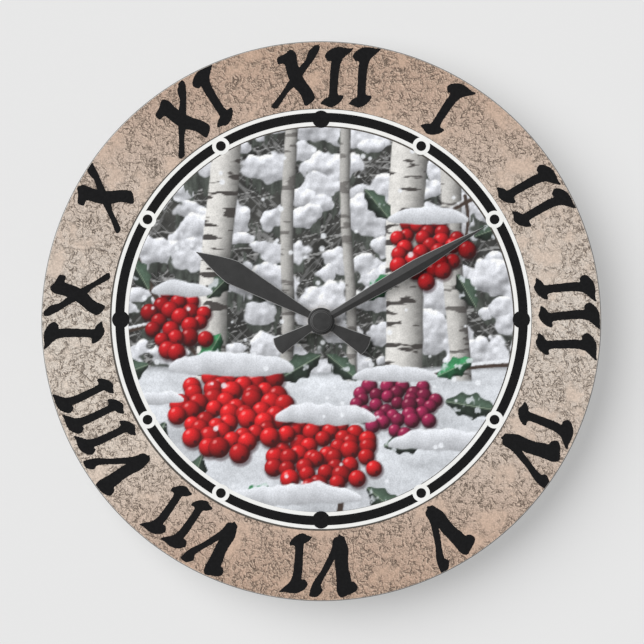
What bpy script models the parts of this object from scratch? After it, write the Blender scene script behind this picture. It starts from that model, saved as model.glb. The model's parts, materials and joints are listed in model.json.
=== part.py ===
"""Round wall clock: a printed acrylic disc with two hands, hung from a quartz movement.

Every piece is built at its real size, in metres, with +Z up. The origin is on the axis of the
hands, in the plane of the wall, and the dial faces -Y. A depth is the distance forward from the
wall, so depth d is y = -d. Outlines are lists of (x, z), as the clock is seen from the front.
"""

import math

import bmesh
import bpy

# Dial
DIAL_DIAMETER = 0.273
DIAL_THICKNESS = 0.003
DIAL_EDGE_CHAMFER = 0.0003

# Fits
SEAT_GAP = 0.0003
SHAFT_GAP = 0.00008
PIPE_GAP = 0.0002

# AA cell
BATTERY_LENGTH = 0.0505
BATTERY_DIAMETER = 0.0142
BATTERY_BUTTON_DIAMETER = 0.0055
BATTERY_BUTTON_LENGTH = 0.001
BATTERY_SHOULDER = 0.0008

# Movement case and its cover
CASE_WALL = 0.0012
CASE_CORNER = 0.003
CASE_FRONT_WALL = 0.0012
COVER_THICKNESS = 0.0012
COVER_LIP = 0.001
COVER_LIP_DEPTH = 0.0016
PARTITION = 0.001
BAY_TOP_ROOM = 0.0005
BAY_BOTTOM_ROOM = 0.0015
BATTERY_RECESS = 0.0008
BAY_NOTCH_RADIUS = 0.011
BAY_NOTCH_DEPTH = 0.006
LATCH_HEIGHT = -0.001
LATCH_WIDTH = 0.006
LATCH_LENGTH = 0.0045
LATCH_HOOK = 0.0007
LATCH_HOOK_LENGTH = 0.0016

# Hanger ear on the case
EAR_WIDTH = 0.02
EAR_HEIGHT = 0.0105
EAR_THICKNESS = 0.0026
EAR_ROOT_DEPTH = 0.0055
EAR_CORNER = 0.0035
EAR_SLOT_WIDTH = 0.01
EAR_SLOT_SILL = 0.002
EAR_SLOT_HEIGHT = 0.006
EAR_GUSSET = 0.0012

# Battery contacts
STRIP = 0.0004
STRIP_WIDTH = 0.004
LEAF_DEPTH = 0.0015
LEAF_LENGTH = 0.0115
LEAF_STEPS = 10
CONTACT_PLATE_HEIGHT = 0.009
STRIP_SLOT_ROOM = 0.0003

# Gear train: tooth counts, module and centre distances
ROTOR_PINION_TEETH = 12
INTERMEDIATE_WHEEL_TEETH = 60
INTERMEDIATE_PINION_TEETH = 10
SECOND_WHEEL_TEETH = 60
SECOND_PINION_TEETH = 8
THIRD_WHEEL_TEETH = 64
THIRD_PINION_TEETH = 8
CENTRE_WHEEL_TEETH = 60
CANNON_PINION_TEETH = 16
MOTION_WHEEL_TEETH = 48
MOTION_PINION_TEETH = 12
HOUR_WHEEL_TEETH = 48
KNOB_PINION_TEETH = 16
TRAIN_MODULE = 0.00025
MOTION_DISTANCE = 0.009

# Directions from one axis to the next, in degrees from +X towards +Z
INTERMEDIATE_DIRECTION = 150.0
ROTOR_DIRECTION = 135.0
THIRD_DIRECTION = 20.0
MOTION_DIRECTION = 75.0
KNOB_DIRECTION = 60.0

# Tooth form, in modules
TOOTH_ADDENDUM = 0.75
WHEEL_DEDENDUM = 1.5
PINION_DEDENDUM = 1.25
TOOTH_TIP_HALF = 0.28
PINION_ROOT_HALF = 0.72

# Wheels and arbors
WHEEL_THICKNESS = 0.0008
WHEEL_RIM = 0.0009
WHEEL_WEB = 0.0004
LEVEL_GAP = 0.0007
END_SHAKE = 0.0003
PIVOT_RADIUS = 0.0004
ARBOR_RADIUS = 0.0007
PIVOT_HOLE_DEPTH = 0.0007
PINION_OVERRUN = 0.0003

# Motor
MAGNET_RADIUS = 0.003
MAGNET_LENGTH = 0.0024
ROTOR_HOLE_RADIUS = 0.0035
DETENT_DEPTH = 0.0005
STATOR_THICKNESS = 0.0011
STATOR_LEG = 0.0036
STATOR_HALF_SPAN = 0.0112
STATOR_BAR_HALF = 0.0046
COIL_RISE = 0.0103
COIL_END_ROOM = 0.0008
COIL_RADIUS = 0.0034
BOBBIN_FLANGE_RADIUS = 0.0038
BOBBIN_FLANGE = 0.0008
BOBBIN_TUBE_RADIUS = 0.0021
BOBBIN_BORE_RADIUS = 0.0016
CORE_HEIGHT = 0.0024
CORE_THICKNESS = 0.0012
CORE_END_HALF_HEIGHT = 0.0021

# Train plate and the studs that carry plate, core and board
PLATE_THICKNESS = 0.001
PLATE_MARGIN = 0.0022
STUD_RADIUS = 0.0015
STUD_PIN_RADIUS = 0.0006
STUD_PIN_OVERRUN = 0.0004
RIGHT_STUDS = ((0.0108, -0.0058), (0.0132, 0.0102))
LEFT_STUD_HEIGHTS = (-0.0058, 0.0134)

# Circuit board
BOARD_WIDTH = 0.0143
BOARD_THICKNESS = 0.0008
BOARD_WALL_ROOM = 0.0005
BOARD_STRIP_ROOM = 0.0004
BOARD_COIL_ROOM = 0.0035
BOARD_PIN_INSET = 0.0022
BOARD_DEPTH_OVER_PLATE = 0.0018
CRYSTAL_RADIUS = 0.001
CRYSTAL_LENGTH = 0.006
CRYSTAL_LEAD_RADIUS = 0.00018
CRYSTAL_LEAD_LENGTH = 0.0016
CRYSTAL_LEAD_STEPS = 6
CHIP_RADIUS = 0.0024
CHIP_HEIGHT = 0.0009
CHIP_DOME = ((0.55, 0.85), (0.88, 0.45), (1.0, 0.0))

# Setting knob
KNOB_RADIUS = 0.006
KNOB_THICKNESS = 0.0023
KNOB_RECESS = 0.0005
KNOB_ROOM = 0.0008
KNOB_ARBOR_RADIUS = 0.0012
KNOB_SCALLOPS = 16
KNOB_SCALLOP_DEPTH = 0.0004
KNOB_CUP_WALL = 0.001

# Threaded bush, washers and nut that clamp the dial
BUSH_RADIUS = 0.004
BUSH_BORE_RADIUS = 0.0027
BUSH_FLANGE_RADIUS = 0.0058
BUSH_FLANGE = 0.0008
BUSH_END_CHAMFER = 0.0004
RUBBER_WASHER_RADIUS = 0.0105
RUBBER_WASHER_THICKNESS = 0.0008
FLAT_WASHER_RADIUS = 0.0062
FLAT_WASHER_THICKNESS = 0.0004
NUT_ACROSS_FLATS = 0.011
NUT_THICKNESS = 0.0022
NUT_BACKED_THREAD = 0.0006

# Pipes that carry the hands
HOUR_PIPE_RADIUS = 0.0025
MINUTE_PIPE_RADIUS = 0.0014
MINUTE_PIPE_BORE = 0.00065
HUB_RADIUS = 0.0026

# Hands: lengths from the axis, half widths, and angles clockwise from twelve
HAND_SHEET = 0.0004
HAND_ROOT_RADIUS = 0.0055
HAND_TIP_HALF_WIDTH = 0.00012
TAIL_SAGITTA = 0.0012
TAIL_SHARES = (1.0, 0.55, 0.2, 0.0)
HOUR_ANGLE = 298.3
HOUR_LENGTH = 0.0704
HOUR_WAIST = (0.0068, 0.00175)
HOUR_SHOULDER = (0.05, 0.00585)
HOUR_POINT_SHARES = (0.12, 0.4, 0.7, 1.0)
HOUR_POINT_FULLNESS = 1.12
HOUR_TAIL = (0.0256, 0.0047)
HOUR_CREASE_SLOPE = 0.045
HOUR_HUB_RADIUS = 0.0063
HOUR_COLLET_RADIUS = 0.0036
HOUR_COLLET_LENGTH = 0.0006
MINUTE_ANGLE = 59.5
MINUTE_LENGTH = 0.0925
MINUTE_WAIST = (0.0112, 0.0019)
MINUTE_BELLY = (0.0507, 0.0034)
MINUTE_RISE_SHARES = (0.3, 0.6, 0.85, 1.0)
MINUTE_POINT_SHARES = (0.15, 0.32, 0.55, 0.8, 1.0)
MINUTE_POINT_FULLNESS = 1.25
MINUTE_TAIL = (0.026, 0.0044)
MINUTE_CREASE_SLOPE = 0.11
MINUTE_HUB_RADIUS = 0.0066
MINUTE_COLLET_RADIUS = 0.0026
MINUTE_COLLET_LENGTH = 0.0006
HAND_ROOM = 0.0006
CAP_RADIUS = 0.0054
CAP_HEIGHT = 0.0021
CAP_EDGE = 0.0006
CAP_DOME = 0.0004
CAP_SOCKET_DEPTH = 0.0011

# How far a cutter runs past what it cuts, and how deep a joined shape reaches into its owner
RUN_OUT = 0.001
OVERLAP = 0.0003

# Facets round a full turn
DIAL_STEPS = 88
FINE_STEPS = 28
ROUND_STEPS = 20
SMALL_STEPS = 16
SHAFT_STEPS = 12
PIN_STEPS = 8

# Depths, from the wall forward
cover_inside = COVER_THICKNESS
intermediate_near = cover_inside + END_SHAKE
intermediate_far = intermediate_near + WHEEL_THICKNESS
second_near = intermediate_far + LEVEL_GAP
second_far = second_near + WHEEL_THICKNESS
third_near = second_far + LEVEL_GAP
third_far = third_near + WHEEL_THICKNESS
centre_near = third_far + LEVEL_GAP
centre_far = centre_near + WHEEL_THICKNESS
plate_near = centre_far + PINION_OVERRUN + END_SHAKE
plate_far = plate_near + PLATE_THICKNESS
cannon_near = plate_far + END_SHAKE
motion_near = cannon_near + PINION_OVERRUN
motion_far = motion_near + WHEEL_THICKNESS
cannon_far = motion_far + PINION_OVERRUN
hour_near = cannon_far + LEVEL_GAP
hour_far = hour_near + WHEEL_THICKNESS
motion_pinion_far = hour_far + PINION_OVERRUN
battery_axis_depth = BATTERY_RECESS + BATTERY_DIAMETER / 2
case_inside = BATTERY_RECESS + BATTERY_DIAMETER + SEAT_GAP
case_front = case_inside + CASE_FRONT_WALL
flange_far = case_inside - SEAT_GAP
flange_near = flange_far - BUSH_FLANGE
rubber_near = case_front + SEAT_GAP
rubber_far = rubber_near + RUBBER_WASHER_THICKNESS
dial_near = rubber_far + SEAT_GAP
dial_far = dial_near + DIAL_THICKNESS
washer_near = dial_far + SEAT_GAP
washer_far = washer_near + FLAT_WASHER_THICKNESS
nut_near = washer_far + SEAT_GAP
nut_far = nut_near + NUT_THICKNESS
bush_end = nut_far + NUT_BACKED_THREAD
hour_collet_near = bush_end + SEAT_GAP
hour_hand_near = hour_collet_near + HOUR_COLLET_LENGTH
hour_hand_far = hour_hand_near + HAND_SHEET
hour_crease_far = hour_hand_far + HOUR_CREASE_SLOPE * HOUR_SHOULDER[1]
minute_hand_near = hour_crease_far + HAND_ROOM
minute_collet_near = minute_hand_near - MINUTE_COLLET_LENGTH
minute_hand_far = minute_hand_near + HAND_SHEET
minute_pipe_end = minute_hand_far + CAP_SOCKET_DEPTH
cap_near = minute_hand_far + SEAT_GAP
cap_far = cap_near + CAP_HEIGHT
stator_near = second_far + LEVEL_GAP
stator_far = stator_near + STATOR_THICKNESS
magnet_near = (stator_near + stator_far - MAGNET_LENGTH) / 2
magnet_far = magnet_near + MAGNET_LENGTH
core_near = stator_far + SHAFT_GAP
core_far = core_near + CORE_THICKNESS
coil_depth = (core_near + core_far) / 2
board_near = plate_far + BOARD_DEPTH_OVER_PLATE
board_far = board_near + BOARD_THICKNESS
knob_near = KNOB_RECESS
knob_far = knob_near + KNOB_THICKNESS
cup_floor_near = knob_far + END_SHAKE
cup_floor_far = cup_floor_near + KNOB_CUP_WALL


def polar(start, degrees, distance):
    """The point at this distance from start, in this direction."""
    angle = math.radians(degrees)
    return (start[0] + distance * math.cos(angle), start[1] + distance * math.sin(angle))


def pitch_distance(teeth, other_teeth, module):
    """Centre distance of two wheels in mesh."""
    return module * (teeth + other_teeth) / 2


def meshing_module(teeth, other_teeth, distance):
    """Module that puts two wheels in mesh at this centre distance."""
    return 2 * distance / (teeth + other_teeth)


def tip_radius(teeth, module):
    return module * (teeth / 2 + TOOTH_ADDENDUM)


def wheel_root_radius(teeth, module):
    return module * (teeth / 2 - WHEEL_DEDENDUM)


# Axes, as (x, z)
third_distance = pitch_distance(SECOND_PINION_TEETH, THIRD_WHEEL_TEETH, TRAIN_MODULE)
centre_module = meshing_module(THIRD_PINION_TEETH, CENTRE_WHEEL_TEETH, third_distance)
cannon_module = meshing_module(CANNON_PINION_TEETH, MOTION_WHEEL_TEETH, MOTION_DISTANCE)
hour_module = meshing_module(MOTION_PINION_TEETH, HOUR_WHEEL_TEETH, MOTION_DISTANCE)
knob_distance = pitch_distance(MOTION_WHEEL_TEETH, KNOB_PINION_TEETH, cannon_module)
intermediate_distance = pitch_distance(
    INTERMEDIATE_PINION_TEETH, SECOND_WHEEL_TEETH, TRAIN_MODULE
)
rotor_distance = pitch_distance(ROTOR_PINION_TEETH, INTERMEDIATE_WHEEL_TEETH, TRAIN_MODULE)
CENTRE_AT = (0.0, 0.0)
INTERMEDIATE_AT = polar(CENTRE_AT, INTERMEDIATE_DIRECTION, intermediate_distance)
ROTOR_AT = polar(INTERMEDIATE_AT, ROTOR_DIRECTION, rotor_distance)
THIRD_AT = polar(CENTRE_AT, THIRD_DIRECTION, third_distance)
MOTION_AT = polar(CENTRE_AT, MOTION_DIRECTION, MOTION_DISTANCE)
KNOB_AT = polar(MOTION_AT, KNOB_DIRECTION, knob_distance)
COIL_AT = (ROTOR_AT[0], ROTOR_AT[1] + COIL_RISE)

# Outline of the case, worked out from what it holds
inside_width = BATTERY_LENGTH + LEAF_DEPTH + STRIP + 4 * SEAT_GAP
inside_half = inside_width / 2
case_half = inside_half + CASE_WALL
lip_outside = CASE_WALL + SEAT_GAP
case_top = COIL_AT[1] + BOBBIN_FLANGE_RADIUS + LEVEL_GAP + COVER_LIP + lip_outside
partition_top = -(tip_radius(CENTRE_WHEEL_TEETH, centre_module) + 2 * LEVEL_GAP)
partition_bottom = partition_top - PARTITION
battery_height = partition_bottom - BAY_TOP_ROOM - BATTERY_DIAMETER / 2
bay_bottom = battery_height - BATTERY_DIAMETER / 2 - BAY_BOTTOM_ROOM
case_bottom = bay_bottom - CASE_WALL
cover_bottom = partition_top + SEAT_GAP
battery_button_end = inside_half - 2 * SEAT_GAP - STRIP
battery_flat_end = battery_button_end - BATTERY_LENGTH

# Circuit board outline and the studs
board_left = -inside_half + BOARD_WALL_ROOM
board_right = board_left + BOARD_WIDTH
board_bottom = partition_top + SEAT_GAP + STRIP + BOARD_STRIP_ROOM
board_top = COIL_AT[1] - BOARD_COIL_ROOM
left_stud_x = board_right + 3 * SEAT_GAP + STUD_RADIUS
PLATE_STUDS = (*RIGHT_STUDS, *((left_stud_x, height) for height in LEFT_STUD_HEIGHTS))
stator_foot = STATOR_HALF_SPAN - STATOR_LEG / 2
coil_half_length = STATOR_HALF_SPAN - STATOR_LEG - COIL_END_ROOM
CORE_STUDS = ((COIL_AT[0] - stator_foot, COIL_AT[1]), (COIL_AT[0] + stator_foot, COIL_AT[1]))
BOARD_STUDS = (
    (board_left + BOARD_PIN_INSET, board_bottom + BOARD_PIN_INSET),
    (board_right - BOARD_PIN_INSET, board_top - BOARD_PIN_INSET),
)


# Outlines


def circle(radius, steps, centre=(0.0, 0.0)):
    """A polygon with its corners on the circle."""
    return [polar(centre, 360 * k / steps, radius) for k in range(steps)]


def hole(radius, steps, centre=(0.0, 0.0)):
    """A polygon with its flats on the circle, so that a shaft of this radius passes."""
    return circle(radius / math.cos(math.pi / steps), steps, centre)


def rectangle(left, right, bottom, top):
    return [(left, bottom), (right, bottom), (right, top), (left, top)]


def rounded_rectangle(left, right, bottom, top, corner, steps=4):
    """A rectangle whose corners are arcs of this radius."""
    centres = (
        (right - corner, top - corner, 0),
        (left + corner, top - corner, 90),
        (left + corner, bottom + corner, 180),
        (right - corner, bottom + corner, 270),
    )
    return [
        polar((x, z), start + 90 * k / steps, corner)
        for x, z, start in centres
        for k in range(steps + 1)
    ]


def arch(half_width, bottom, spring, steps=10):
    """A doorway: straight sides up to the spring line, then a half circle."""
    top = [polar((0.0, spring), 180 * k / steps, half_width) for k in range(steps + 1)]
    return [(-half_width, bottom), (half_width, bottom), *top]


def hull(points):
    """The convex outline round these points, anticlockwise."""
    ordered = sorted(set(points))
    outline = []
    for run in (ordered, ordered[::-1]):
        side = []
        for x, z in run:
            while len(side) > 1:
                (ax, az), (bx, bz) = side[-2:]
                if (bx - ax) * (z - az) - (bz - az) * (x - ax) > 0:
                    break
                side.pop()
            side.append((x, z))
        outline += side[:-1]
    return outline


def scalloped(radius, scallops, dip, steps=4):
    """A grip edge: a circle whose radius dips once for each scallop."""
    count = scallops * steps
    depths = [dip * (1 - math.cos(2 * math.pi * k / steps)) / 2 for k in range(count)]
    return [polar((0.0, 0.0), 360 * k / count, radius - depth) for k, depth in enumerate(depths)]


def repeat_round(count, phase, corners):
    """The corners, as (radius, angle), repeated at even steps round a centre."""
    turns = [phase + 2 * math.pi * k / count for k in range(count)]
    return [
        (radius * math.cos(turn + angle), radius * math.sin(turn + angle))
        for turn in turns
        for radius, angle in corners
    ]


def wheel_outline(teeth, module, phase):
    """A wheel's edge: teeth with flat tips and V roots, and one tooth at phase."""
    outer = tip_radius(teeth, module)
    tip = TOOTH_TIP_HALF * module / outer
    corners = ((outer, -tip), (outer, tip), (wheel_root_radius(teeth, module), math.pi / teeth))
    return repeat_round(teeth, phase, corners)


def pinion_outline(teeth, module, phase):
    """A pinion's edge: leaves with flat tips and flat roots, and one leaf at phase."""
    outer = tip_radius(teeth, module)
    inner = module * (teeth / 2 - PINION_DEDENDUM)
    tip = TOOTH_TIP_HALF * module / outer
    root = PINION_ROOT_HALF * module / inner
    return repeat_round(teeth, phase, ((inner, -root), (outer, -tip), (outer, tip), (inner, root)))


def meshing_phase(phase, teeth, other_teeth, degrees):
    """Turn of the other wheel that puts its gap opposite this wheel's tooth, across the centres."""
    direction = math.radians(degrees)
    return direction + math.pi + math.pi / other_teeth - (phase - direction) * teeth / other_teeth


# Solids

PLANES = {
    "front": lambda u, v, t: (u, -t, v),
    "plan": lambda u, v, t: (u, -v, t),
    "side": lambda u, v, t: (t, -u, v),
}
AXES = {
    "depth": lambda across, up, station: (across, -station, up),
    "x": lambda across, up, station: (station, across, up),
    "z": lambda across, up, station: (across, up, station),
}


def extrusion(outline, start, stop, holes=(), plane="front"):
    """The outline, less its holes, swept square to its plane.

    Outlines are (x, z) swept in depth in front, (x, depth) swept up in plan, and (depth, z) swept
    along X from the side.
    """
    place = PLANES[plane]
    shape = bmesh.new()
    edges = []
    for loop in (outline, *holes):
        ring = [shape.verts.new(place(u, v, start)) for u, v in loop]
        edges += [shape.edges.new(pair) for pair in zip(ring, ring[1:] + ring[:1])]
    bmesh.ops.triangle_fill(shape, use_beauty=True, use_dissolve=False, edges=edges)
    grown = bmesh.ops.extrude_face_region(shape, geom=shape.faces[:])
    moved = [part for part in grown["geom"] if isinstance(part, bmesh.types.BMVert)]
    bmesh.ops.translate(shape, verts=moved, vec=place(0.0, 0.0, stop - start))
    bmesh.ops.recalc_face_normals(shape, faces=shape.faces[:])
    return shape


def box(left, right, near, far, bottom, top):
    return extrusion(rectangle(left, right, bottom, top), near, far)


def turned(profile, steps, axis="depth", centre=(0.0, 0.0, 0.0)):
    """A closed profile of (radius, station) spun round an axis."""
    place = AXES[axis]
    shape = bmesh.new()
    rings = []
    for radius, station in profile:
        ring = []
        for k in range(steps if radius > 0 else 1):
            point = place(*polar((0.0, 0.0), 360 * k / steps, radius), station)
            ring.append(shape.verts.new([p + c for p, c in zip(point, centre)]))
        rings.append(ring)
    pairs = list(zip(rings, rings[1:]))
    if profile[0][0] > 0:
        pairs.append((rings[-1], rings[0]))
    for ring, following in pairs:
        for k in range(steps):
            corners = (
                ring[k % len(ring)],
                ring[(k + 1) % len(ring)],
                following[(k + 1) % len(following)],
                following[k % len(following)],
            )
            unique = list(dict.fromkeys(corners))
            if len(unique) > 2:
                shape.faces.new(unique)
    bmesh.ops.recalc_face_normals(shape, faces=shape.faces[:])
    return shape


def stack(loops, hollow=False):
    """A solid through a chain of (outline, depth): flat between loops at one depth, walls between
    depths. A hollow chain closes on itself, which leaves a bore."""
    shape = bmesh.new()
    rings = []
    for outline, depth in loops:
        ring = [shape.verts.new((x, -depth, z)) for x, z in outline]
        edges = [shape.edges.new(pair) for pair in zip(ring, ring[1:] + ring[:1])]
        rings.append((ring, edges, depth))
    pairs = list(zip(rings, rings[1:]))
    if hollow:
        pairs.append((rings[-1], rings[0]))
    for (ring, edges, depth), (following, more_edges, following_depth) in pairs:
        if depth == following_depth:
            bmesh.ops.triangle_fill(shape, use_beauty=True, edges=edges + more_edges)
            continue
        for k in range(len(ring)):
            shape.faces.new((ring[k - 1], ring[k], following[k], following[k - 1]))
    if not hollow:
        shape.faces.new(rings[0][0])
        shape.faces.new(rings[-1][0])
    bmesh.ops.recalc_face_normals(shape, faces=shape.faces[:])
    return shape


def cylinder(radius, near, far, steps=ROUND_STEPS):
    return turned([(0.0, near), (radius, near), (radius, far), (0.0, far)], steps)


def washer(bore, radius, near, far, steps=ROUND_STEPS):
    """A flat ring whose bore clears a shaft of this radius."""
    inner = bore / math.cos(math.pi / steps)
    return turned([(inner, near), (radius, near), (radius, far), (inner, far)], steps)


def creased_blade(stations, near, slope):
    """A hand's blade along +Z: folded sheet, with its crease forward of its edges by slope x width."""
    shape = bmesh.new()
    rings = []
    for along, half in stations:
        crease = slope * half
        section = (
            (-half, near),
            (0.0, near + crease),
            (half, near),
            (half, near + HAND_SHEET),
            (0.0, near + HAND_SHEET + crease),
            (-half, near + HAND_SHEET),
        )
        rings.append([shape.verts.new((x, -depth, along)) for x, depth in section])
    for ring, following in zip(rings, rings[1:]):
        for k in range(6):
            m = (k + 1) % 6
            shape.faces.new((ring[k], ring[m], following[m], following[k]))
    for ring in (rings[0], rings[-1]):
        shape.faces.new((ring[0], ring[1], ring[4], ring[5]))
        shape.faces.new((ring[1], ring[2], ring[3], ring[4]))
    bmesh.ops.recalc_face_normals(shape, faces=shape.faces[:])
    return shape


# Objects


def clear_scene():
    for thing in list(bpy.data.objects):
        bpy.data.objects.remove(thing, do_unlink=True)


def to_mesh(name, shape):
    mesh = bpy.data.meshes.new(name)
    shape.to_mesh(mesh)
    shape.free()
    return mesh


def axis_empty(name, at):
    """The axis of a moving group, which its pieces are parented to."""
    empty = bpy.data.objects.new(name, None)
    empty.location = (at[0], 0.0, at[1])
    empty.empty_display_size = 0.01
    bpy.context.scene.collection.objects.link(empty)
    return empty


def piece(name, shape, colour, roughness, metallic=0.0, parent=None, smooth_under=30.0):
    """One solid piece with its own material; its origin is its parent's axis, or the frame's."""
    mesh = to_mesh(name, shape)
    mesh.shade_smooth()
    mesh.set_sharp_from_angle(angle=math.radians(smooth_under))
    finish = bpy.data.materials.new(name)
    finish.use_nodes = True
    principled = finish.node_tree.nodes["Principled BSDF"]
    principled.inputs["Base Color"].default_value = (*colour, 1.0)
    principled.inputs["Roughness"].default_value = roughness
    principled.inputs["Metallic"].default_value = metallic
    mesh.materials.append(finish)
    thing = bpy.data.objects.new(name, mesh)
    thing.parent = parent
    bpy.context.scene.collection.objects.link(thing)
    return thing


def combine(owner, shape, operation, at):
    """Adds a Boolean whose hidden operand rides with its owner."""
    label = f"{owner.name}_{operation.lower()}_{len(owner.modifiers) + 1}"
    operand = bpy.data.objects.new(label, to_mesh(label, shape))
    operand.parent = owner
    operand.location = (at[0], 0.0, at[1])
    operand.hide_render = True
    operand.display_type = "WIRE"
    bpy.context.scene.collection.objects.link(operand)
    boolean = owner.modifiers.new(label, "BOOLEAN")
    boolean.operation = operation
    boolean.solver = "EXACT"
    boolean.object = operand


def join(owner, shape, at=(0.0, 0.0)):
    combine(owner, shape, "UNION", at)


def cut(owner, shape, at=(0.0, 0.0)):
    combine(owner, shape, "DIFFERENCE", at)


WHITE_PLASTIC = (0.82, 0.82, 0.78)
BLACK_PLASTIC = (0.025, 0.025, 0.027)
ACETAL = (0.86, 0.85, 0.8)
BRASS = (0.72, 0.53, 0.24)
STEEL = (0.62, 0.62, 0.6)
COPPER = (0.72, 0.36, 0.2)
HAND_GREY = (0.045, 0.045, 0.048)


# Movement case and cover


def add_stud(owner, at, seat, pin_end):
    """A stud from the case's front wall to its seat, with a pin that runs on towards the wall."""
    root = case_inside + CASE_FRONT_WALL / 2
    profile = [
        (0.0, pin_end),
        (STUD_PIN_RADIUS, pin_end),
        (STUD_PIN_RADIUS, seat),
        (STUD_RADIUS, seat),
        (STUD_RADIUS, root),
        (0.0, root),
    ]
    join(owner, turned(profile, PIN_STEPS), at)


def add_ear(case):
    """The hanger ear: a flat lug above the case with an arched slot, on a root with two gussets."""
    foot = case_top + SEAT_GAP
    top = case_top + EAR_HEIGHT
    half = EAR_WIDTH / 2
    shoulder = half - EAR_CORNER - RUN_OUT
    shoulders = [
        point
        for x in (-shoulder, shoulder)
        for point in circle(EAR_CORNER, SMALL_STEPS, (x, top - EAR_CORNER))
    ]
    sill = case_top + EAR_SLOT_SILL
    slot_half = EAR_SLOT_WIDTH / 2
    slot = arch(slot_half, sill, sill + EAR_SLOT_HEIGHT - slot_half)
    lug = hull([(-half, foot), (half, foot), *shoulders])
    join(case, extrusion(lug, 0.0, EAR_THICKNESS, [slot]))
    root_half = half - OVERLAP
    root_depths = (cover_inside + SEAT_GAP, EAR_ROOT_DEPTH)
    join(case, box(-root_half, root_half, *root_depths, case_top - OVERLAP, sill - OVERLAP))
    gusset = [
        (EAR_THICKNESS - OVERLAP, sill - 2 * OVERLAP),
        (EAR_ROOT_DEPTH - OVERLAP, sill - 2 * OVERLAP),
        (EAR_THICKNESS - OVERLAP, top - EAR_CORNER),
    ]
    for side in (-1, 1):
        edge = side * (slot_half + EAR_GUSSET / 2)
        sides = sorted((edge, edge + side * EAR_GUSSET))
        join(case, extrusion(gusset, *sides, plane="side"))


def latch_window():
    """Depths and heights that a cover latch's hook needs in the case's side wall."""
    far = cover_inside + LATCH_LENGTH + SEAT_GAP
    near = far - LATCH_HOOK_LENGTH - 2 * SEAT_GAP
    half = LATCH_WIDTH / 2 + SEAT_GAP
    return near, far, LATCH_HEIGHT - half, LATCH_HEIGHT + half


def make_case():
    """The tub: front wall, four sides, battery bay, studs and hanger ear in one moulding."""
    outline = rounded_rectangle(-case_half, case_half, case_bottom, case_top, CASE_CORNER)
    case = piece("movement_case", extrusion(outline, 0.0, case_front), BLACK_PLASTIC, 0.45)
    inner_top = case_top - CASE_WALL
    corner = CASE_CORNER - CASE_WALL
    chamber = rounded_rectangle(-inside_half, inside_half, partition_top, inner_top, corner)
    bay = rectangle(-inside_half, inside_half, bay_bottom, partition_bottom)
    for pocket in (chamber, bay):
        cut(case, extrusion(pocket, -RUN_OUT, case_inside))
    rim = (-2 * case_half, 2 * case_half, -RUN_OUT, cover_inside + SEAT_GAP)
    cut(case, box(*rim, partition_top, 2 * case_top))
    slot_depths = (battery_axis_depth - STRIP_WIDTH / 2 - STRIP_SLOT_ROOM, board_far + STRIP_WIDTH / 2)
    slot_inner = inside_half - SEAT_GAP - STRIP - STRIP_SLOT_ROOM
    window = latch_window()
    for side in (-1, 1):
        slot = sorted((side * slot_inner, side * inside_half))
        cut(case, box(*slot, *slot_depths, partition_bottom - RUN_OUT, partition_top + RUN_OUT))
        through = sorted((side * (inside_half - RUN_OUT), side * (case_half + RUN_OUT)))
        cut(case, box(*through, *window))
    notch = [(0.0, case_bottom - RUN_OUT), (BAY_NOTCH_RADIUS, case_bottom - RUN_OUT)]
    notch += [(radius, bay_bottom + RUN_OUT) for radius, _ in notch[::-1]]
    notch_centre = (0.0, BAY_NOTCH_RADIUS - BAY_NOTCH_DEPTH, 0.0)
    cut(case, turned(notch, FINE_STEPS, "z", notch_centre))
    bush_hole = hole(BUSH_RADIUS + SHAFT_GAP, ROUND_STEPS)
    cut(case, extrusion(bush_hole, case_inside - RUN_OUT, case_front + RUN_OUT))
    pivot_hole = PIVOT_RADIUS + SHAFT_GAP
    for at in (MOTION_AT, KNOB_AT):
        depths = (case_inside - RUN_OUT, case_inside + PIVOT_HOLE_DEPTH)
        cut(case, extrusion(hole(pivot_hole, PIN_STEPS), *depths), at)
    add_ear(case)
    for at in PLATE_STUDS:
        add_stud(case, at, plate_far + SEAT_GAP, plate_near - STUD_PIN_OVERRUN)
    for at in CORE_STUDS:
        add_stud(case, at, core_far + SEAT_GAP, stator_near - STUD_PIN_OVERRUN)
    for at in BOARD_STUDS:
        add_stud(case, at, board_far + SEAT_GAP, board_near - STUD_PIN_OVERRUN)


def add_latch(cover, side):
    """A sprung finger inside the side wall, with a wedge that hooks into the wall's window."""
    outer = inside_half - SEAT_GAP
    inner = outer - COVER_LIP
    end = cover_inside + LATCH_LENGTH
    barb = end - LATCH_HOOK_LENGTH
    root = cover_inside - OVERLAP
    outline = [
        (inner, root),
        (outer, root),
        (outer, barb),
        (inside_half + LATCH_HOOK, barb + LATCH_HOOK / 3),
        (outer, end),
        (inner, end),
    ]
    half = LATCH_WIDTH / 2
    outline = [(side * x, depth) for x, depth in outline]
    join(cover, extrusion(outline, LATCH_HEIGHT - half, LATCH_HEIGHT + half, plane="plan"))


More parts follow.
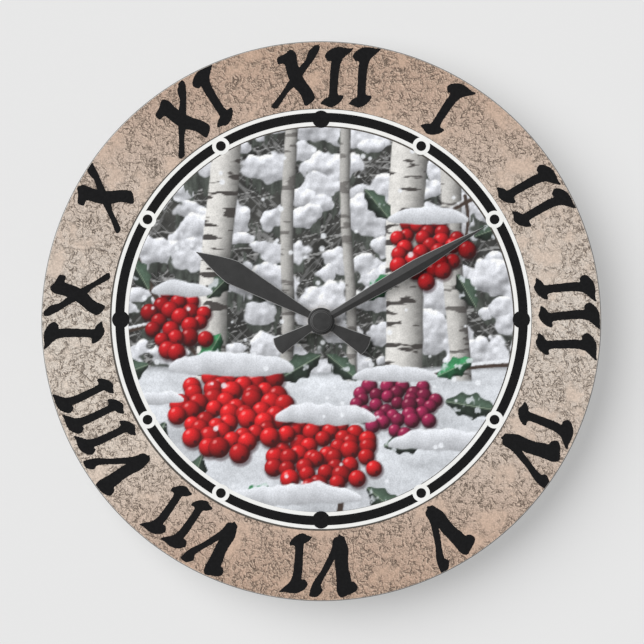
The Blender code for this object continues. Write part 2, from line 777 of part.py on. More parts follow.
def make_cover():
    """The back cover: a plate with a locating lip, two latches, a sunk knob cup and pivot holes."""
    outline = rounded_rectangle(-case_half, case_half, cover_bottom, case_top, CASE_CORNER)
    cover = piece("case_cover", extrusion(outline, 0.0, COVER_THICKNESS), BLACK_PLASTIC, 0.45)
    lip = inside_half - SEAT_GAP
    lip_bottom = partition_top + SEAT_GAP + OVERLAP
    lip_top = case_top - lip_outside
    corner = CASE_CORNER - CASE_WALL
    ring = rounded_rectangle(-lip, lip, lip_bottom, lip_top, corner)
    inside = lip - COVER_LIP
    heights = (lip_bottom + COVER_LIP, lip_top - COVER_LIP)
    opening = rounded_rectangle(-inside, inside, *heights, corner / 2)
    lip_end = cover_inside + COVER_LIP_DEPTH
    join(cover, extrusion(ring, cover_inside - OVERLAP, lip_end, [opening]))
    for side in (-1, 1):
        add_latch(cover, side)
    cup_radius = KNOB_RADIUS + KNOB_ROOM
    cup_depths = (COVER_THICKNESS / 2, cup_floor_far)
    join(cover, cylinder(cup_radius + KNOB_CUP_WALL, *cup_depths, FINE_STEPS), KNOB_AT)
    cut(cover, cylinder(cup_radius, -RUN_OUT, cup_floor_near, FINE_STEPS), KNOB_AT)
    bore = hole(KNOB_ARBOR_RADIUS + SHAFT_GAP, SMALL_STEPS)
    cut(cover, extrusion(bore, cup_floor_near - RUN_OUT, cup_floor_far + RUN_OUT), KNOB_AT)
    pivot_hole = hole(PIVOT_RADIUS + SHAFT_GAP, PIN_STEPS)
    for at in (CENTRE_AT, INTERMEDIATE_AT, ROTOR_AT, THIRD_AT):
        depths = (cover_inside - PIVOT_HOLE_DEPTH, cover_inside + RUN_OUT)
        cut(cover, extrusion(pivot_hole, *depths), at)


def make_train_plate():
    """The plate that carries the front pivots, staked on four studs."""
    pivots = (INTERMEDIATE_AT, ROTOR_AT, THIRD_AT, MOTION_AT)
    rounds = [circle(PLATE_MARGIN, ROUND_STEPS, at) for at in (*PLATE_STUDS, *pivots)]
    outline = hull([point for ring in rounds for point in ring])
    holes = [hole(PIVOT_RADIUS + SHAFT_GAP, PIN_STEPS, at) for at in pivots]
    holes += [hole(STUD_PIN_RADIUS + SHAFT_GAP, PIN_STEPS, at) for at in PLATE_STUDS]
    holes.append(hole(MINUTE_PIPE_RADIUS + SHAFT_GAP, SMALL_STEPS))
    plate = piece("train_plate", extrusion(outline, plate_near, plate_far, holes), WHITE_PLASTIC, 0.5)
    pass_hole = hole(KNOB_ARBOR_RADIUS + 2 * SEAT_GAP, SMALL_STEPS)
    cut(plate, extrusion(pass_hole, plate_near - RUN_OUT, plate_far + RUN_OUT), KNOB_AT)


# Wheels


def disc_loops(teeth, module, phase, near, far, hub_near, hub_far):
    """From one hub outline to the other: sunk web, rim, teeth, rim and sunk web again."""
    sink = (far - near - WHEEL_WEB) / 2
    edge = wheel_outline(teeth, module, phase)
    rim = circle(wheel_root_radius(teeth, module) - WHEEL_RIM, SMALL_STEPS)
    near_web = near + sink
    far_web = far - sink
    return [
        (hub_near, near_web),
        (rim, near_web),
        (rim, near),
        (edge, near),
        (edge, far),
        (rim, far),
        (rim, far_web),
        (hub_far, far_web),
    ]


def step_loops(depth, inner, outer):
    """A flat shoulder from one outline to another."""
    return [(inner, depth), (outer, depth)]


PIVOT = circle(PIVOT_RADIUS, PIN_STEPS)
ARBOR = circle(ARBOR_RADIUS, SHAFT_STEPS)
arbor_rear = cover_inside - PIVOT_HOLE_DEPTH + SEAT_GAP
arbor_front = plate_far + SEAT_GAP / 2
shoulder_rear = cover_inside + END_SHAKE / 2
shoulder_front = plate_near - END_SHAKE


def make_rotor():
    """The rotor's pinion and arbor, with the ring magnet on it."""
    axis = axis_empty("rotor_axis", ROTOR_AT)
    leaves = pinion_outline(ROTOR_PINION_TEETH, TRAIN_MODULE, 0.0)
    loops = [
        (PIVOT, arbor_rear),
        *step_loops(shoulder_rear, PIVOT, leaves),
        *step_loops(intermediate_far + PINION_OVERRUN, leaves, ARBOR),
        *step_loops(shoulder_front, ARBOR, PIVOT),
        (PIVOT, arbor_front),
    ]
    piece("rotor_pinion", stack(loops), ACETAL, 0.45, parent=axis)
    magnet = washer(ARBOR_RADIUS + SHAFT_GAP, MAGNET_RADIUS, magnet_near, magnet_far)
    piece("rotor_magnet", magnet, (0.16, 0.16, 0.17), 0.4, 0.6, parent=axis)


def make_reduction_wheel(name, at, wheel, wheel_depths, pinion, pinion_far, shaft_end):
    """A moulded wheel with its pinion on the dial side; wheel and pinion are teeth, module, phase."""
    leaves = pinion_outline(*pinion)
    loops = [
        (PIVOT, arbor_rear),
        *step_loops(shoulder_rear, PIVOT, ARBOR),
        *disc_loops(*wheel, *wheel_depths, ARBOR, leaves),
        *step_loops(pinion_far, leaves, shaft_end[0]),
        *shaft_end[1:],
    ]
    piece(name, stack(loops), ACETAL, 0.45, parent=axis_empty(f"{name}_axis", at))


def make_train():
    """Rotor to centre wheel: every wheel is turned so that it meshes with the one before it."""
    make_rotor()
    pivot_end = [ARBOR, (ARBOR, shoulder_front), (PIVOT, shoulder_front), (PIVOT, arbor_front)]
    phase = meshing_phase(0.0, ROTOR_PINION_TEETH, INTERMEDIATE_WHEEL_TEETH, ROTOR_DIRECTION + 180)
    make_reduction_wheel(
        "intermediate_wheel",
        INTERMEDIATE_AT,
        (INTERMEDIATE_WHEEL_TEETH, TRAIN_MODULE, phase),
        (intermediate_near, intermediate_far),
        (INTERMEDIATE_PINION_TEETH, TRAIN_MODULE, 0.0),
        second_far + PINION_OVERRUN,
        pivot_end,
    )
    direction = INTERMEDIATE_DIRECTION + 180
    phase = meshing_phase(0.0, INTERMEDIATE_PINION_TEETH, SECOND_WHEEL_TEETH, direction)
    make_reduction_wheel(
        "second_wheel",
        CENTRE_AT,
        (SECOND_WHEEL_TEETH, TRAIN_MODULE, phase),
        (second_near, second_far),
        (SECOND_PINION_TEETH, TRAIN_MODULE, 0.0),
        third_far + PINION_OVERRUN,
        [PIVOT, (PIVOT, minute_hand_near)],
    )
    phase = meshing_phase(0.0, SECOND_PINION_TEETH, THIRD_WHEEL_TEETH, THIRD_DIRECTION)
    make_reduction_wheel(
        "third_wheel",
        THIRD_AT,
        (THIRD_WHEEL_TEETH, TRAIN_MODULE, phase),
        (third_near, third_far),
        (THIRD_PINION_TEETH, centre_module, 0.0),
        centre_far + PINION_OVERRUN,
        pivot_end,
    )
    bore = hole(MINUTE_PIPE_RADIUS + SHAFT_GAP, SMALL_STEPS)
    hub = circle(HUB_RADIUS, SMALL_STEPS)
    hub_ends = (centre_near - SHAFT_GAP, shoulder_front)
    phase = meshing_phase(0.0, THIRD_PINION_TEETH, CENTRE_WHEEL_TEETH, THIRD_DIRECTION + 180)
    wheel = (CENTRE_WHEEL_TEETH, centre_module, phase)
    loops = [
        *step_loops(hub_ends[0], bore, hub),
        *disc_loops(*wheel, centre_near, centre_far, hub, hub),
        *step_loops(hub_ends[1], hub, bore),
    ]
    axis = axis_empty("centre_axis", CENTRE_AT)
    piece("centre_wheel", stack(loops, hollow=True), ACETAL, 0.45, parent=axis)


def make_minute_pipe(axis):
    """The minute pipe with its cannon pinion; the centre wheel grips its rear end."""
    bore = circle(MINUTE_PIPE_BORE, SMALL_STEPS)
    pipe = circle(MINUTE_PIPE_RADIUS, SMALL_STEPS)
    leaves = pinion_outline(CANNON_PINION_TEETH, cannon_module, 0.0)
    loops = [
        *step_loops(centre_near - SHAFT_GAP, bore, pipe),
        *step_loops(cannon_near, pipe, leaves),
        *step_loops(cannon_far, leaves, pipe),
        *step_loops(minute_pipe_end, pipe, bore),
    ]
    piece("minute_pipe", stack(loops, hollow=True), BRASS, 0.3, 1.0, parent=axis)


def make_hour_wheel(axis):
    """The hour wheel with its collar and the pipe that carries the hour hand."""
    bore = hole(MINUTE_PIPE_RADIUS + PIPE_GAP, SMALL_STEPS)
    collar = circle(HUB_RADIUS + WHEEL_RIM, ROUND_STEPS)
    pipe = circle(HOUR_PIPE_RADIUS, ROUND_STEPS)
    direction = MOTION_DIRECTION + 180
    phase = meshing_phase(0.0, MOTION_PINION_TEETH, HOUR_WHEEL_TEETH, direction)
    wheel = (HOUR_WHEEL_TEETH, hour_module, phase)
    loops = [
        *step_loops(hour_near, bore, collar),
        *disc_loops(*wheel, hour_near, hour_far, collar, collar),
        *step_loops(flange_near - END_SHAKE, collar, pipe),
        *step_loops(hour_hand_far, pipe, bore),
    ]
    piece("hour_wheel", stack(loops, hollow=True), ACETAL, 0.45, parent=axis)


def make_motion_wheel():
    """The motion wheel and its pinion; returns the phase of the wheel's teeth."""
    phase = meshing_phase(0.0, CANNON_PINION_TEETH, MOTION_WHEEL_TEETH, MOTION_DIRECTION)
    leaves = pinion_outline(MOTION_PINION_TEETH, hour_module, 0.0)
    wheel = (MOTION_WHEEL_TEETH, cannon_module, phase)
    loops = [
        (PIVOT, plate_near + SEAT_GAP),
        *step_loops(plate_far + END_SHAKE / 2, PIVOT, ARBOR),
        *disc_loops(*wheel, motion_near, motion_far, ARBOR, leaves),
        *step_loops(motion_pinion_far, leaves, ARBOR),
        *step_loops(case_inside - END_SHAKE, ARBOR, PIVOT),
        (PIVOT, case_inside + PIVOT_HOLE_DEPTH - SEAT_GAP),
    ]
    piece("motion_wheel", stack(loops), ACETAL, 0.45, parent=axis_empty("motion_axis", MOTION_AT))
    return phase


def make_setting(motion_phase):
    """The setting arbor, in mesh with the motion wheel, and the knob pressed on its rear end."""
    axis = axis_empty("knob_axis", KNOB_AT)
    phase = meshing_phase(motion_phase, MOTION_WHEEL_TEETH, KNOB_PINION_TEETH, KNOB_DIRECTION)
    leaves = pinion_outline(KNOB_PINION_TEETH, cannon_module, phase)
    shaft = circle(KNOB_ARBOR_RADIUS, SMALL_STEPS)
    seat = knob_near + KNOB_THICKNESS / 2
    loops = [
        (shaft, seat),
        *step_loops(motion_near - PINION_OVERRUN, shaft, leaves),
        *step_loops(motion_far + PINION_OVERRUN, leaves, shaft),
        *step_loops(case_inside - END_SHAKE, shaft, PIVOT),
        (PIVOT, case_inside + PIVOT_HOLE_DEPTH - SEAT_GAP),
    ]
    piece("setting_arbor", stack(loops), ACETAL, 0.45, parent=axis)
    grip = scalloped(KNOB_RADIUS, KNOB_SCALLOPS, KNOB_SCALLOP_DEPTH)
    socket = hole(KNOB_ARBOR_RADIUS + SHAFT_GAP, SMALL_STEPS)
    socket_end = seat - SHAFT_GAP
    loops = [
        (grip, knob_near),
        *step_loops(knob_far, grip, socket),
        (socket, socket_end),
    ]
    piece("setting_knob", stack(loops), WHITE_PLASTIC, 0.4, parent=axis)


def make_motion_work():
    """Cannon pinion, motion wheel, hour wheel and setting arbor, on the dial side of the plate."""
    make_minute_pipe(axis_empty("minute_axis", CENTRE_AT))
    make_hour_wheel(axis_empty("hour_axis", CENTRE_AT))
    make_setting(make_motion_wheel())


# Motor and electrics


def make_motor():
    """The stepping motor: two-leg stator round the rotor, with its coil on a core above.

    Two notches in the stator's round hole are the detents at which the magnet rests.
    """
    span = STATOR_HALF_SPAN
    leg_inner = span - STATOR_LEG
    leg_top = COIL_RISE + CORE_END_HALF_HEIGHT
    bar = STATOR_BAR_HALF
    outline = [(-span, -bar), (span, -bar), (span, leg_top), (leg_inner, leg_top)]
    outline += [(leg_inner, bar), (-leg_inner, bar), (-leg_inner, leg_top), (-span, leg_top)]
    foot = hole(STUD_PIN_RADIUS + SHAFT_GAP, PIN_STEPS, (stator_foot, COIL_RISE))
    feet = [foot, [(-x, z) for x, z in foot]]
    rotor_hole = circle(ROTOR_HOLE_RADIUS, ROUND_STEPS)
    for step in (ROUND_STEPS // 8, ROUND_STEPS * 5 // 8):
        rotor_hole[step] = polar((0.0, 0.0), 360 * step / ROUND_STEPS, ROTOR_HOLE_RADIUS + DETENT_DEPTH)
    stator_shape = extrusion(outline, stator_near, stator_far, [rotor_hole, *feet])
    stator_axis = axis_empty("stator_centre", ROTOR_AT)
    piece("stator", stator_shape, STEEL, 0.35, 1.0, parent=stator_axis)

    coil_axis = axis_empty("coil_centre", COIL_AT)
    half_height = CORE_HEIGHT / 2
    lug = CORE_END_HALF_HEIGHT
    lug_start = coil_half_length + SEAT_GAP
    right = [(lug_start, -half_height), (lug_start, -lug), (span, -lug)]
    right += [(x, -z) for x, z in right[::-1]]
    core_outline = right + [(-x, -z) for x, z in right]
    lugs = [hole(STUD_PIN_RADIUS + SHAFT_GAP, PIN_STEPS, (side * stator_foot, 0.0)) for side in (-1, 1)]
    core = extrusion(core_outline, core_near, core_far, lugs)
    piece("coil_core", core, STEEL, 0.4, 1.0, parent=coil_axis)

    centre = (0.0, -coil_depth, 0.0)
    end = coil_half_length
    wound_end = end - BOBBIN_FLANGE
    bobbin = [
        (BOBBIN_BORE_RADIUS, -end),
        (BOBBIN_FLANGE_RADIUS, -end),
        (BOBBIN_FLANGE_RADIUS, -wound_end),
        (BOBBIN_TUBE_RADIUS, -wound_end),
        (BOBBIN_TUBE_RADIUS, wound_end),
        (BOBBIN_FLANGE_RADIUS, wound_end),
        (BOBBIN_FLANGE_RADIUS, end),
        (BOBBIN_BORE_RADIUS, end),
    ]
    piece("coil_bobbin", turned(bobbin, SMALL_STEPS, "x", centre), WHITE_PLASTIC, 0.5, parent=coil_axis)
    inner = (BOBBIN_TUBE_RADIUS + SHAFT_GAP) / math.cos(math.pi / SMALL_STEPS)
    reach = wound_end - SHAFT_GAP
    winding = [
        (inner, -reach),
        (COIL_RADIUS - SHAFT_GAP, -reach),
        (COIL_RADIUS, 0.0),
        (COIL_RADIUS - SHAFT_GAP, reach),
        (inner, reach),
    ]
    wire = turned(winding, SMALL_STEPS, "x", centre)
    piece("coil_winding", wire, COPPER, 0.35, 0.7, parent=coil_axis)


def make_board():
    """The circuit board on its two studs, with the crystal and the covered chip."""
    outline = rectangle(board_left, board_right, board_bottom, board_top)
    holes = [hole(STUD_PIN_RADIUS + SHAFT_GAP, PIN_STEPS, at) for at in BOARD_STUDS]
    piece("circuit_board", extrusion(outline, board_near, board_far, holes), (0.05, 0.2, 0.1), 0.4)

    crystal_x = board_left + 3 * CRYSTAL_RADIUS
    crystal_top = board_top - STUD_RADIUS - CRYSTAL_LENGTH / 2
    can_foot = crystal_top - CRYSTAL_LENGTH
    centre = (crystal_x, -(board_near - SHAFT_GAP - CRYSTAL_RADIUS), 0.0)
    can = [(0.0, can_foot), (CRYSTAL_RADIUS, can_foot)]
    can += [(radius, crystal_top) for radius, _ in can[::-1]]
    crystal = piece("quartz_crystal", turned(can, PIN_STEPS, "z", centre), STEEL, 0.25, 1.0)
    lead_foot = can_foot - CRYSTAL_LEAD_LENGTH
    lead = [(0.0, lead_foot), (CRYSTAL_LEAD_RADIUS, lead_foot)]
    lead += [(radius, can_foot + OVERLAP) for radius, _ in lead[::-1]]
    for side in (-1, 1):
        offset = (side * CRYSTAL_RADIUS / 2, 0.0)
        join(crystal, turned(lead, CRYSTAL_LEAD_STEPS, "z", centre), offset)

    middle = ((board_left + board_right) / 2, (board_bottom + board_top) / 3)
    far = board_near - SHAFT_GAP
    dome = [(CHIP_RADIUS * out, far - CHIP_HEIGHT * rise) for out, rise in CHIP_DOME]
    profile = [(0.0, far - CHIP_HEIGHT), *dome, (0.0, far)]
    drop = turned(profile, SMALL_STEPS)
    piece("chip_cover", drop, (0.02, 0.02, 0.02), 0.3, parent=axis_empty("chip_centre", middle))


def make_battery():
    """The cell, lying across the bay with its button at the right end as seen from the front."""
    battery_axis = axis_empty("battery_axis", (0.0, battery_height))
    radius = BATTERY_DIAMETER / 2
    shoulder = BATTERY_SHOULDER
    body_end = battery_button_end - BATTERY_BUTTON_LENGTH
    button = BATTERY_BUTTON_DIAMETER / 2
    profile = [
        (0.0, battery_flat_end),
        (radius - shoulder, battery_flat_end),
        (radius, battery_flat_end + shoulder / 2),
        (radius, body_end - shoulder),
        (radius - shoulder, body_end),
        (button, body_end),
        (button, battery_button_end),
        (0.0, battery_button_end),
    ]
    centre = (0.0, -battery_axis_depth, 0.0)
    shape = turned(profile, ROUND_STEPS, "x", centre)
    piece("battery", shape, (0.03, 0.03, 0.035), 0.35, 0.3, parent=battery_axis)


def make_contacts():
    """The two strips: each stands at an end of the bay and turns along the partition to the board."""
    foot_bottom = partition_top + SEAT_GAP
    foot_top = foot_bottom + STRIP
    plate_depths = (battery_axis_depth - STRIP_WIDTH / 2, battery_axis_depth + STRIP_WIDTH / 2)
    riser_depths = (battery_axis_depth, board_far + STRIP_WIDTH / 4)
    foot_depths = (board_near - STRIP_WIDTH / 8, riser_depths[1])
    wall = inside_half - SEAT_GAP
    plate_bottom = battery_height - CONTACT_PLATE_HEIGHT / 2
    inset = SHAFT_GAP / 2
    riser_heights = (partition_bottom - OVERLAP, foot_top - inset)

    plate = box(wall - STRIP, wall, *plate_depths, plate_bottom, foot_top)
    positive = piece("positive_contact", plate, STEEL, 0.3, 1.0)
    join(positive, box(wall - STRIP + inset, wall - inset, *riser_depths, *riser_heights))
    tie = board_right - BOARD_PIN_INSET
    join(positive, box(tie, wall - SHAFT_GAP, *foot_depths, foot_bottom, foot_top - SHAFT_GAP))

    leaf_half = LEAF_LENGTH / 2
    back = [(-wall, foot_top)]
    for k in range(LEAF_STEPS + 1):
        swing = 1 - 2 * k / LEAF_STEPS
        bow = (LEAF_DEPTH - STRIP) * (1 - swing * swing)
        back.append((-wall + bow, battery_height + swing * leaf_half))
    leaf = back + [(x + STRIP, z) for x, z in back[::-1]]
    negative = piece("negative_contact", extrusion(leaf, *plate_depths), STEEL, 0.3, 1.0)
    join(negative, box(-wall + inset, -wall + STRIP - inset, *riser_depths, *riser_heights))
    tie = board_left + BOARD_PIN_INSET * 2
    join(negative, box(-wall + SHAFT_GAP, tie, *foot_depths, foot_bottom, foot_top - SHAFT_GAP))


# Dial and what clamps it


def make_dial():
    """The acrylic disc, with polished chamfers on its rim and a plain hole for the bush."""
    bore = hole(BUSH_RADIUS + PIPE_GAP, ROUND_STEPS)
    rim = circle(DIAL_DIAMETER / 2, DIAL_STEPS)
    chamfer = DIAL_EDGE_CHAMFER
    face = circle(DIAL_DIAMETER / 2 - chamfer, DIAL_STEPS)
    loops = [
        *step_loops(dial_near, bore, face),
        (rim, dial_near + chamfer),
        (rim, dial_far - chamfer),
        *step_loops(dial_far, face, bore),
    ]
    piece("dial_plate", stack(loops, hollow=True), (0.62, 0.55, 0.47), 0.2)


def make_clamp():
    """The threaded bush, the rubber washer behind the dial, and the washer and nut before it."""
    bore = BUSH_BORE_RADIUS / math.cos(math.pi / ROUND_STEPS)
    chamfer = BUSH_END_CHAMFER
    profile = [
        (bore, flange_near),
        (BUSH_FLANGE_RADIUS, flange_near),
        (BUSH_FLANGE_RADIUS, flange_far),
        (BUSH_RADIUS, flange_far),
        (BUSH_RADIUS, bush_end - chamfer),
        (BUSH_RADIUS - chamfer, bush_end),
        (bore, bush_end),
    ]
    piece("threaded_bush", turned(profile, ROUND_STEPS), BRASS, 0.3, 1.0)
    hole_radius = BUSH_RADIUS + PIPE_GAP
    rubber = washer(hole_radius, RUBBER_WASHER_RADIUS, rubber_near, rubber_far)
    piece("rubber_washer", rubber, (0.03, 0.03, 0.03), 0.8)
    flat = washer(hole_radius, FLAT_WASHER_RADIUS, washer_near, washer_far)
    piece("flat_washer", flat, BRASS, 0.3, 1.0)
    corners = [polar((0.0, 0.0), 60 * k, NUT_ACROSS_FLATS / math.sqrt(3)) for k in range(6)]
    nut = extrusion(corners, nut_near, nut_far, [hole(hole_radius, ROUND_STEPS)])
    piece("hex_nut", nut, BRASS, 0.3, 1.0)


# Hands


def tail_stations(length, half, waist):
    """A tail that widens evenly from the hub and ends in a shallow arc."""
    radius = (half * half + TAIL_SAGITTA * TAIL_SAGITTA) / (2 * TAIL_SAGITTA)
    stations = [(HAND_ROOT_RADIUS, waist)]
    for share in TAIL_SHARES:
        sag = TAIL_SAGITTA * share
        width = math.sqrt(radius * radius - (radius - sag) ** 2)
        stations.append((length - sag, max(width, HAND_TIP_HALF_WIDTH)))
    return stations


def make_hand(name, blades, near, hub_radius, collet, bore, parent, degrees):
    """A creased blade and tail on a round hub, with a collet behind it, turned to its hour.

    Blades are the front stations, the tail stations and the crease's slope; the collet is its
    radius and its near depth.
    """
    front, back, slope = blades
    collet_radius, collet_near = collet
    hub = cylinder(hub_radius, near - SHAFT_GAP, near + HAND_SHEET + SHAFT_GAP, FINE_STEPS)
    hand = piece(name, hub, HAND_GREY, 0.4, 0.4, parent=parent)
    hand.rotation_euler.y = math.radians(degrees)
    join(hand, creased_blade(front, near, slope))
    tail = creased_blade(back, near, slope)
    bmesh.ops.scale(tail, vec=(-1.0, 1.0, -1.0), verts=tail.verts[:])
    join(hand, tail)
    join(hand, cylinder(collet_radius, collet_near, near + HAND_SHEET / 2))
    through = (collet_near - RUN_OUT, near + HAND_SHEET + RUN_OUT)
    cut(hand, extrusion(hole(bore, ROUND_STEPS), *through))


def hour_stations():
    """The lance: straight from its waist to its shoulder, then a slightly full point."""
    (waist_at, waist), (shoulder_at, shoulder) = HOUR_WAIST, HOUR_SHOULDER
    stations = [(HAND_ROOT_RADIUS, waist), (waist_at, waist)]
    rise = (shoulder - waist) / (shoulder_at - waist_at)
    stations.append((shoulder_at - HAND_ROOT_RADIUS / 3, shoulder - rise * HAND_ROOT_RADIUS / 3))
    stations.append((shoulder_at, shoulder))
    for share in HOUR_POINT_SHARES:
        along = shoulder_at + share * (HOUR_LENGTH - shoulder_at)
        half = shoulder * (1 - share ** HOUR_POINT_FULLNESS)
        stations.append((along, max(half, HAND_TIP_HALF_WIDTH)))
    return stations


def minute_stations():
    """The slim leaf: a gentle belly past its middle, drawn out to a fine point."""
    (waist_at, waist), (belly_at, belly) = MINUTE_WAIST, MINUTE_BELLY
    stations = [(HAND_ROOT_RADIUS, waist), (waist_at, waist)]
    for share in MINUTE_RISE_SHARES:
        half = waist + (belly - waist) * math.sin(share * math.pi / 2)
        stations.append((waist_at + share * (belly_at - waist_at), half))
    for share in MINUTE_POINT_SHARES:
        along = belly_at + share * (MINUTE_LENGTH - belly_at)
        half = belly * (1 - share ** MINUTE_POINT_FULLNESS)
        stations.append((along, max(half, HAND_TIP_HALF_WIDTH)))
    return stations


def make_hands():
    hour_axis = bpy.data.objects["hour_axis"]
    minute_axis = bpy.data.objects["minute_axis"]
    make_hand(
        "hour_hand",
        (hour_stations(), tail_stations(*HOUR_TAIL, HOUR_WAIST[1]), HOUR_CREASE_SLOPE),
        hour_hand_near,
        HOUR_HUB_RADIUS,
        (HOUR_COLLET_RADIUS, hour_collet_near),
        HOUR_PIPE_RADIUS + SHAFT_GAP,
        hour_axis,
        HOUR_ANGLE,
    )
    make_hand(
        "minute_hand",
        (minute_stations(), tail_stations(*MINUTE_TAIL, MINUTE_WAIST[1]), MINUTE_CREASE_SLOPE),
        minute_hand_near,
        MINUTE_HUB_RADIUS,
        (MINUTE_COLLET_RADIUS, minute_collet_near),
        MINUTE_PIPE_RADIUS + SHAFT_GAP,
        minute_axis,
        MINUTE_ANGLE,
    )
    socket = (MINUTE_PIPE_RADIUS + SHAFT_GAP) / math.cos(math.pi / FINE_STEPS)
    socket_end = minute_pipe_end + SHAFT_GAP
    edge = CAP_EDGE
    rim_far = cap_far - CAP_DOME
    profile = [
        (socket, cap_near),
        (CAP_RADIUS, cap_near),
        (CAP_RADIUS, rim_far - edge),
        (CAP_RADIUS - edge, rim_far),
        (0.0, cap_far),
        (0.0, socket_end),
        (socket, socket_end),
    ]
    piece("hand_cap", turned(profile, FINE_STEPS), HAND_GREY, 0.35, 0.4, parent=minute_axis)


def main():
    clear_scene()
    make_case()
    make_cover()
    make_train_plate()
    make_train()
    make_motion_work()
    make_motor()
    make_board()
    make_battery()
    make_contacts()
    make_dial()
    make_clamp()
    make_hands()


main()
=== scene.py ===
import json
import math

import bmesh
import bpy
import numpy as np
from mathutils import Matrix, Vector


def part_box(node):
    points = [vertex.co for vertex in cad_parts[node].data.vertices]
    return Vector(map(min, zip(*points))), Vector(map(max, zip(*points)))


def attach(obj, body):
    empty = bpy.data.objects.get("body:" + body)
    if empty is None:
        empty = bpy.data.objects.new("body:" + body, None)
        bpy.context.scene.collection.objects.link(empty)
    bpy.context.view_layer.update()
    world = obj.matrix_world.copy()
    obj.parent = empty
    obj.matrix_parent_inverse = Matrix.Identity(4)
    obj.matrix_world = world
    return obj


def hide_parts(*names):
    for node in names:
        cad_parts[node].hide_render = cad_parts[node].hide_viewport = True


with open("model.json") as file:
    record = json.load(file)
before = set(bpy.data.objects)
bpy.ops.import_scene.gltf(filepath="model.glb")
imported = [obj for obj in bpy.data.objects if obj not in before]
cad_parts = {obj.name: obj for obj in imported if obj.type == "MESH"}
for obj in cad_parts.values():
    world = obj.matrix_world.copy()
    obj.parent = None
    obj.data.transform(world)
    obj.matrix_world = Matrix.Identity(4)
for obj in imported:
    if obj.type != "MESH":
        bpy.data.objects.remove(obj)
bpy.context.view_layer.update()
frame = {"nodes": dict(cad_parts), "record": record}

nodes = frame["nodes"]
node_slots = {part["node"]: part["material_slot"] for part in frame["record"]["subparts"]}
members = frame["record"]["behaviour"]["bodies"]
node_bodies = {node: body for body, names in members.items() for node in names}

# Lengths below are in millimetres. A place is (across, out from the wall, up).
MM = 0.001
TURN = 2 * math.pi
GOLDEN_ANGLE = 2.399963

# Edges that turn by more than this many degrees stay sharp
SHARP = 32.0
HAND_SHARP = 25.0
THREAD_SHARP = 40.0

# Depths of the layers on the disc's face
FACE = -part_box("dial_plate")[0].y / MM
DISC_BACK = -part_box("dial_plate")[1].y / MM
INK = 0.02
BAND_TOP = FACE + INK
WHITE_TOP = BAND_TOP + INK
BLACK_TOP = WHITE_TOP + INK
DOT_TOP = BLACK_TOP + INK
CORE_TOP = DOT_TOP + INK

# The disc and what is printed on it
DISC_RADIUS = 136.5
EDGE_ROUND = 0.55
BORE_RADIUS = 4.1
PRINT_RADIUS = 136.0
BAND_OVERLAP = 2.0
BAND_MARGIN = 0.05
RING_CENTRE = (0.1, 1.05)
WHITE_RING = (94.2, 102.35)
BLACK_RING = (96.1, 100.6)
SHADE_CENTRE = (-0.2, 0.74)
SHADE_RING = (93.8, 102.95)
DOT_CENTRE = (-0.13, 0.8)
DOT_ORBIT = 97.68
DOT_RADIUS = 4.25
DOT_CORE_RADIUS = 2.4
NUMERAL_CENTRE = (0.0, -0.63)
NUMERAL_ORBIT = 120.8
BRISTLE = 0.1

# Corners round the disc, its rings, a dot, a hub and a slimmer turned part
DISC_STEPS = 720
RING_STEPS = 480
DOT_STEPS = 64
HUB_STEPS = 192
STEM_STEPS = 96

# Brushed numeral strokes, upright, each as (across, up) from its letter's middle
STROKE_I = [
    (-3.3, 6.5), (-4.8, 8.6), (-4.3, 10.3), (-2.2, 12.2), (0.9, 13.5), (4.6, 13.3), (7.0, 12.7),
    (9.2, 13.1), (8.9, 11.9), (6.7, 10.0), (4.3, 7.9), (3.6, 6.6), (2.7, 4.2), (2.1, -0.3),
    (1.7, -5.1), (1.5, -10.2), (3.9, -10.1), (4.4, -11.4), (2.9, -13.6), (0.5, -15.5),
    (-2.2, -16.4), (-3.8, -15.8), (-4.6, -15.2), (-7.0, -14.6), (-6.5, -13.6), (-4.6, -11.7),
    (-2.9, -11.1), (-2.7, -8.5), (-2.4, -3.4), (-2.2, 1.8), (-1.9, 4.5), (-1.5, 6.4), (-2.6, 6.6),
]
STROKE_X_FALLING = [
    (-9.7, 8.7), (-7.8, 9.9), (-5.6, 10.9), (-4.1, 12.4), (-2.9, 13.1), (-1.7, 12.6),
    (-0.3, 11.2), (0.2, 9.3), (0.5, 6.6), (1.2, 4.6), (3.1, -0.2), (5.5, -3.7), (7.6, -6.4),
    (8.9, -9.1), (9.4, -10.7), (8.2, -12.6), (6.2, -14.1), (4.8, -14.8), (3.8, -13.6),
    (3.1, -11.2), (2.1, -9.1), (0.7, -7.4), (-1.3, -5.5), (-3.6, -1.6), (-4.6, 1.1),
    (-5.3, 3.9), (-6.0, 5.9), (-7.2, 5.9), (-8.9, 5.5), (-9.5, 6.9),
]
STROKE_X_RISING = [
    (8.9, 15.2), (10.3, 15.6), (11.2, 15.0), (11.4, 14.0), (11.0, 12.4), (10.0, 10.7), (8.9, 8.7),
    (7.6, 6.9), (5.9, 4.6), (4.5, 2.5), (3.1, 0.4), (-1.0, -5.4), (-3.4, -7.4), (-5.4, -10.2),
    (-7.2, -13.2), (-8.5, -15.1), (-9.5, -16.2), (-11.3, -16.0), (-12.1, -15.5), (-11.6, -13.9),
    (-9.9, -11.9), (-7.8, -9.1), (-6.1, -6.4), (-3.6, -2.3), (-1.3, 1.8), (1.2, 4.2), (3.1, 6.3),
    (4.5, 8.0), (5.2, 10.4), (5.9, 12.4), (6.9, 13.4), (7.6, 13.8), (8.2, 14.8),
]
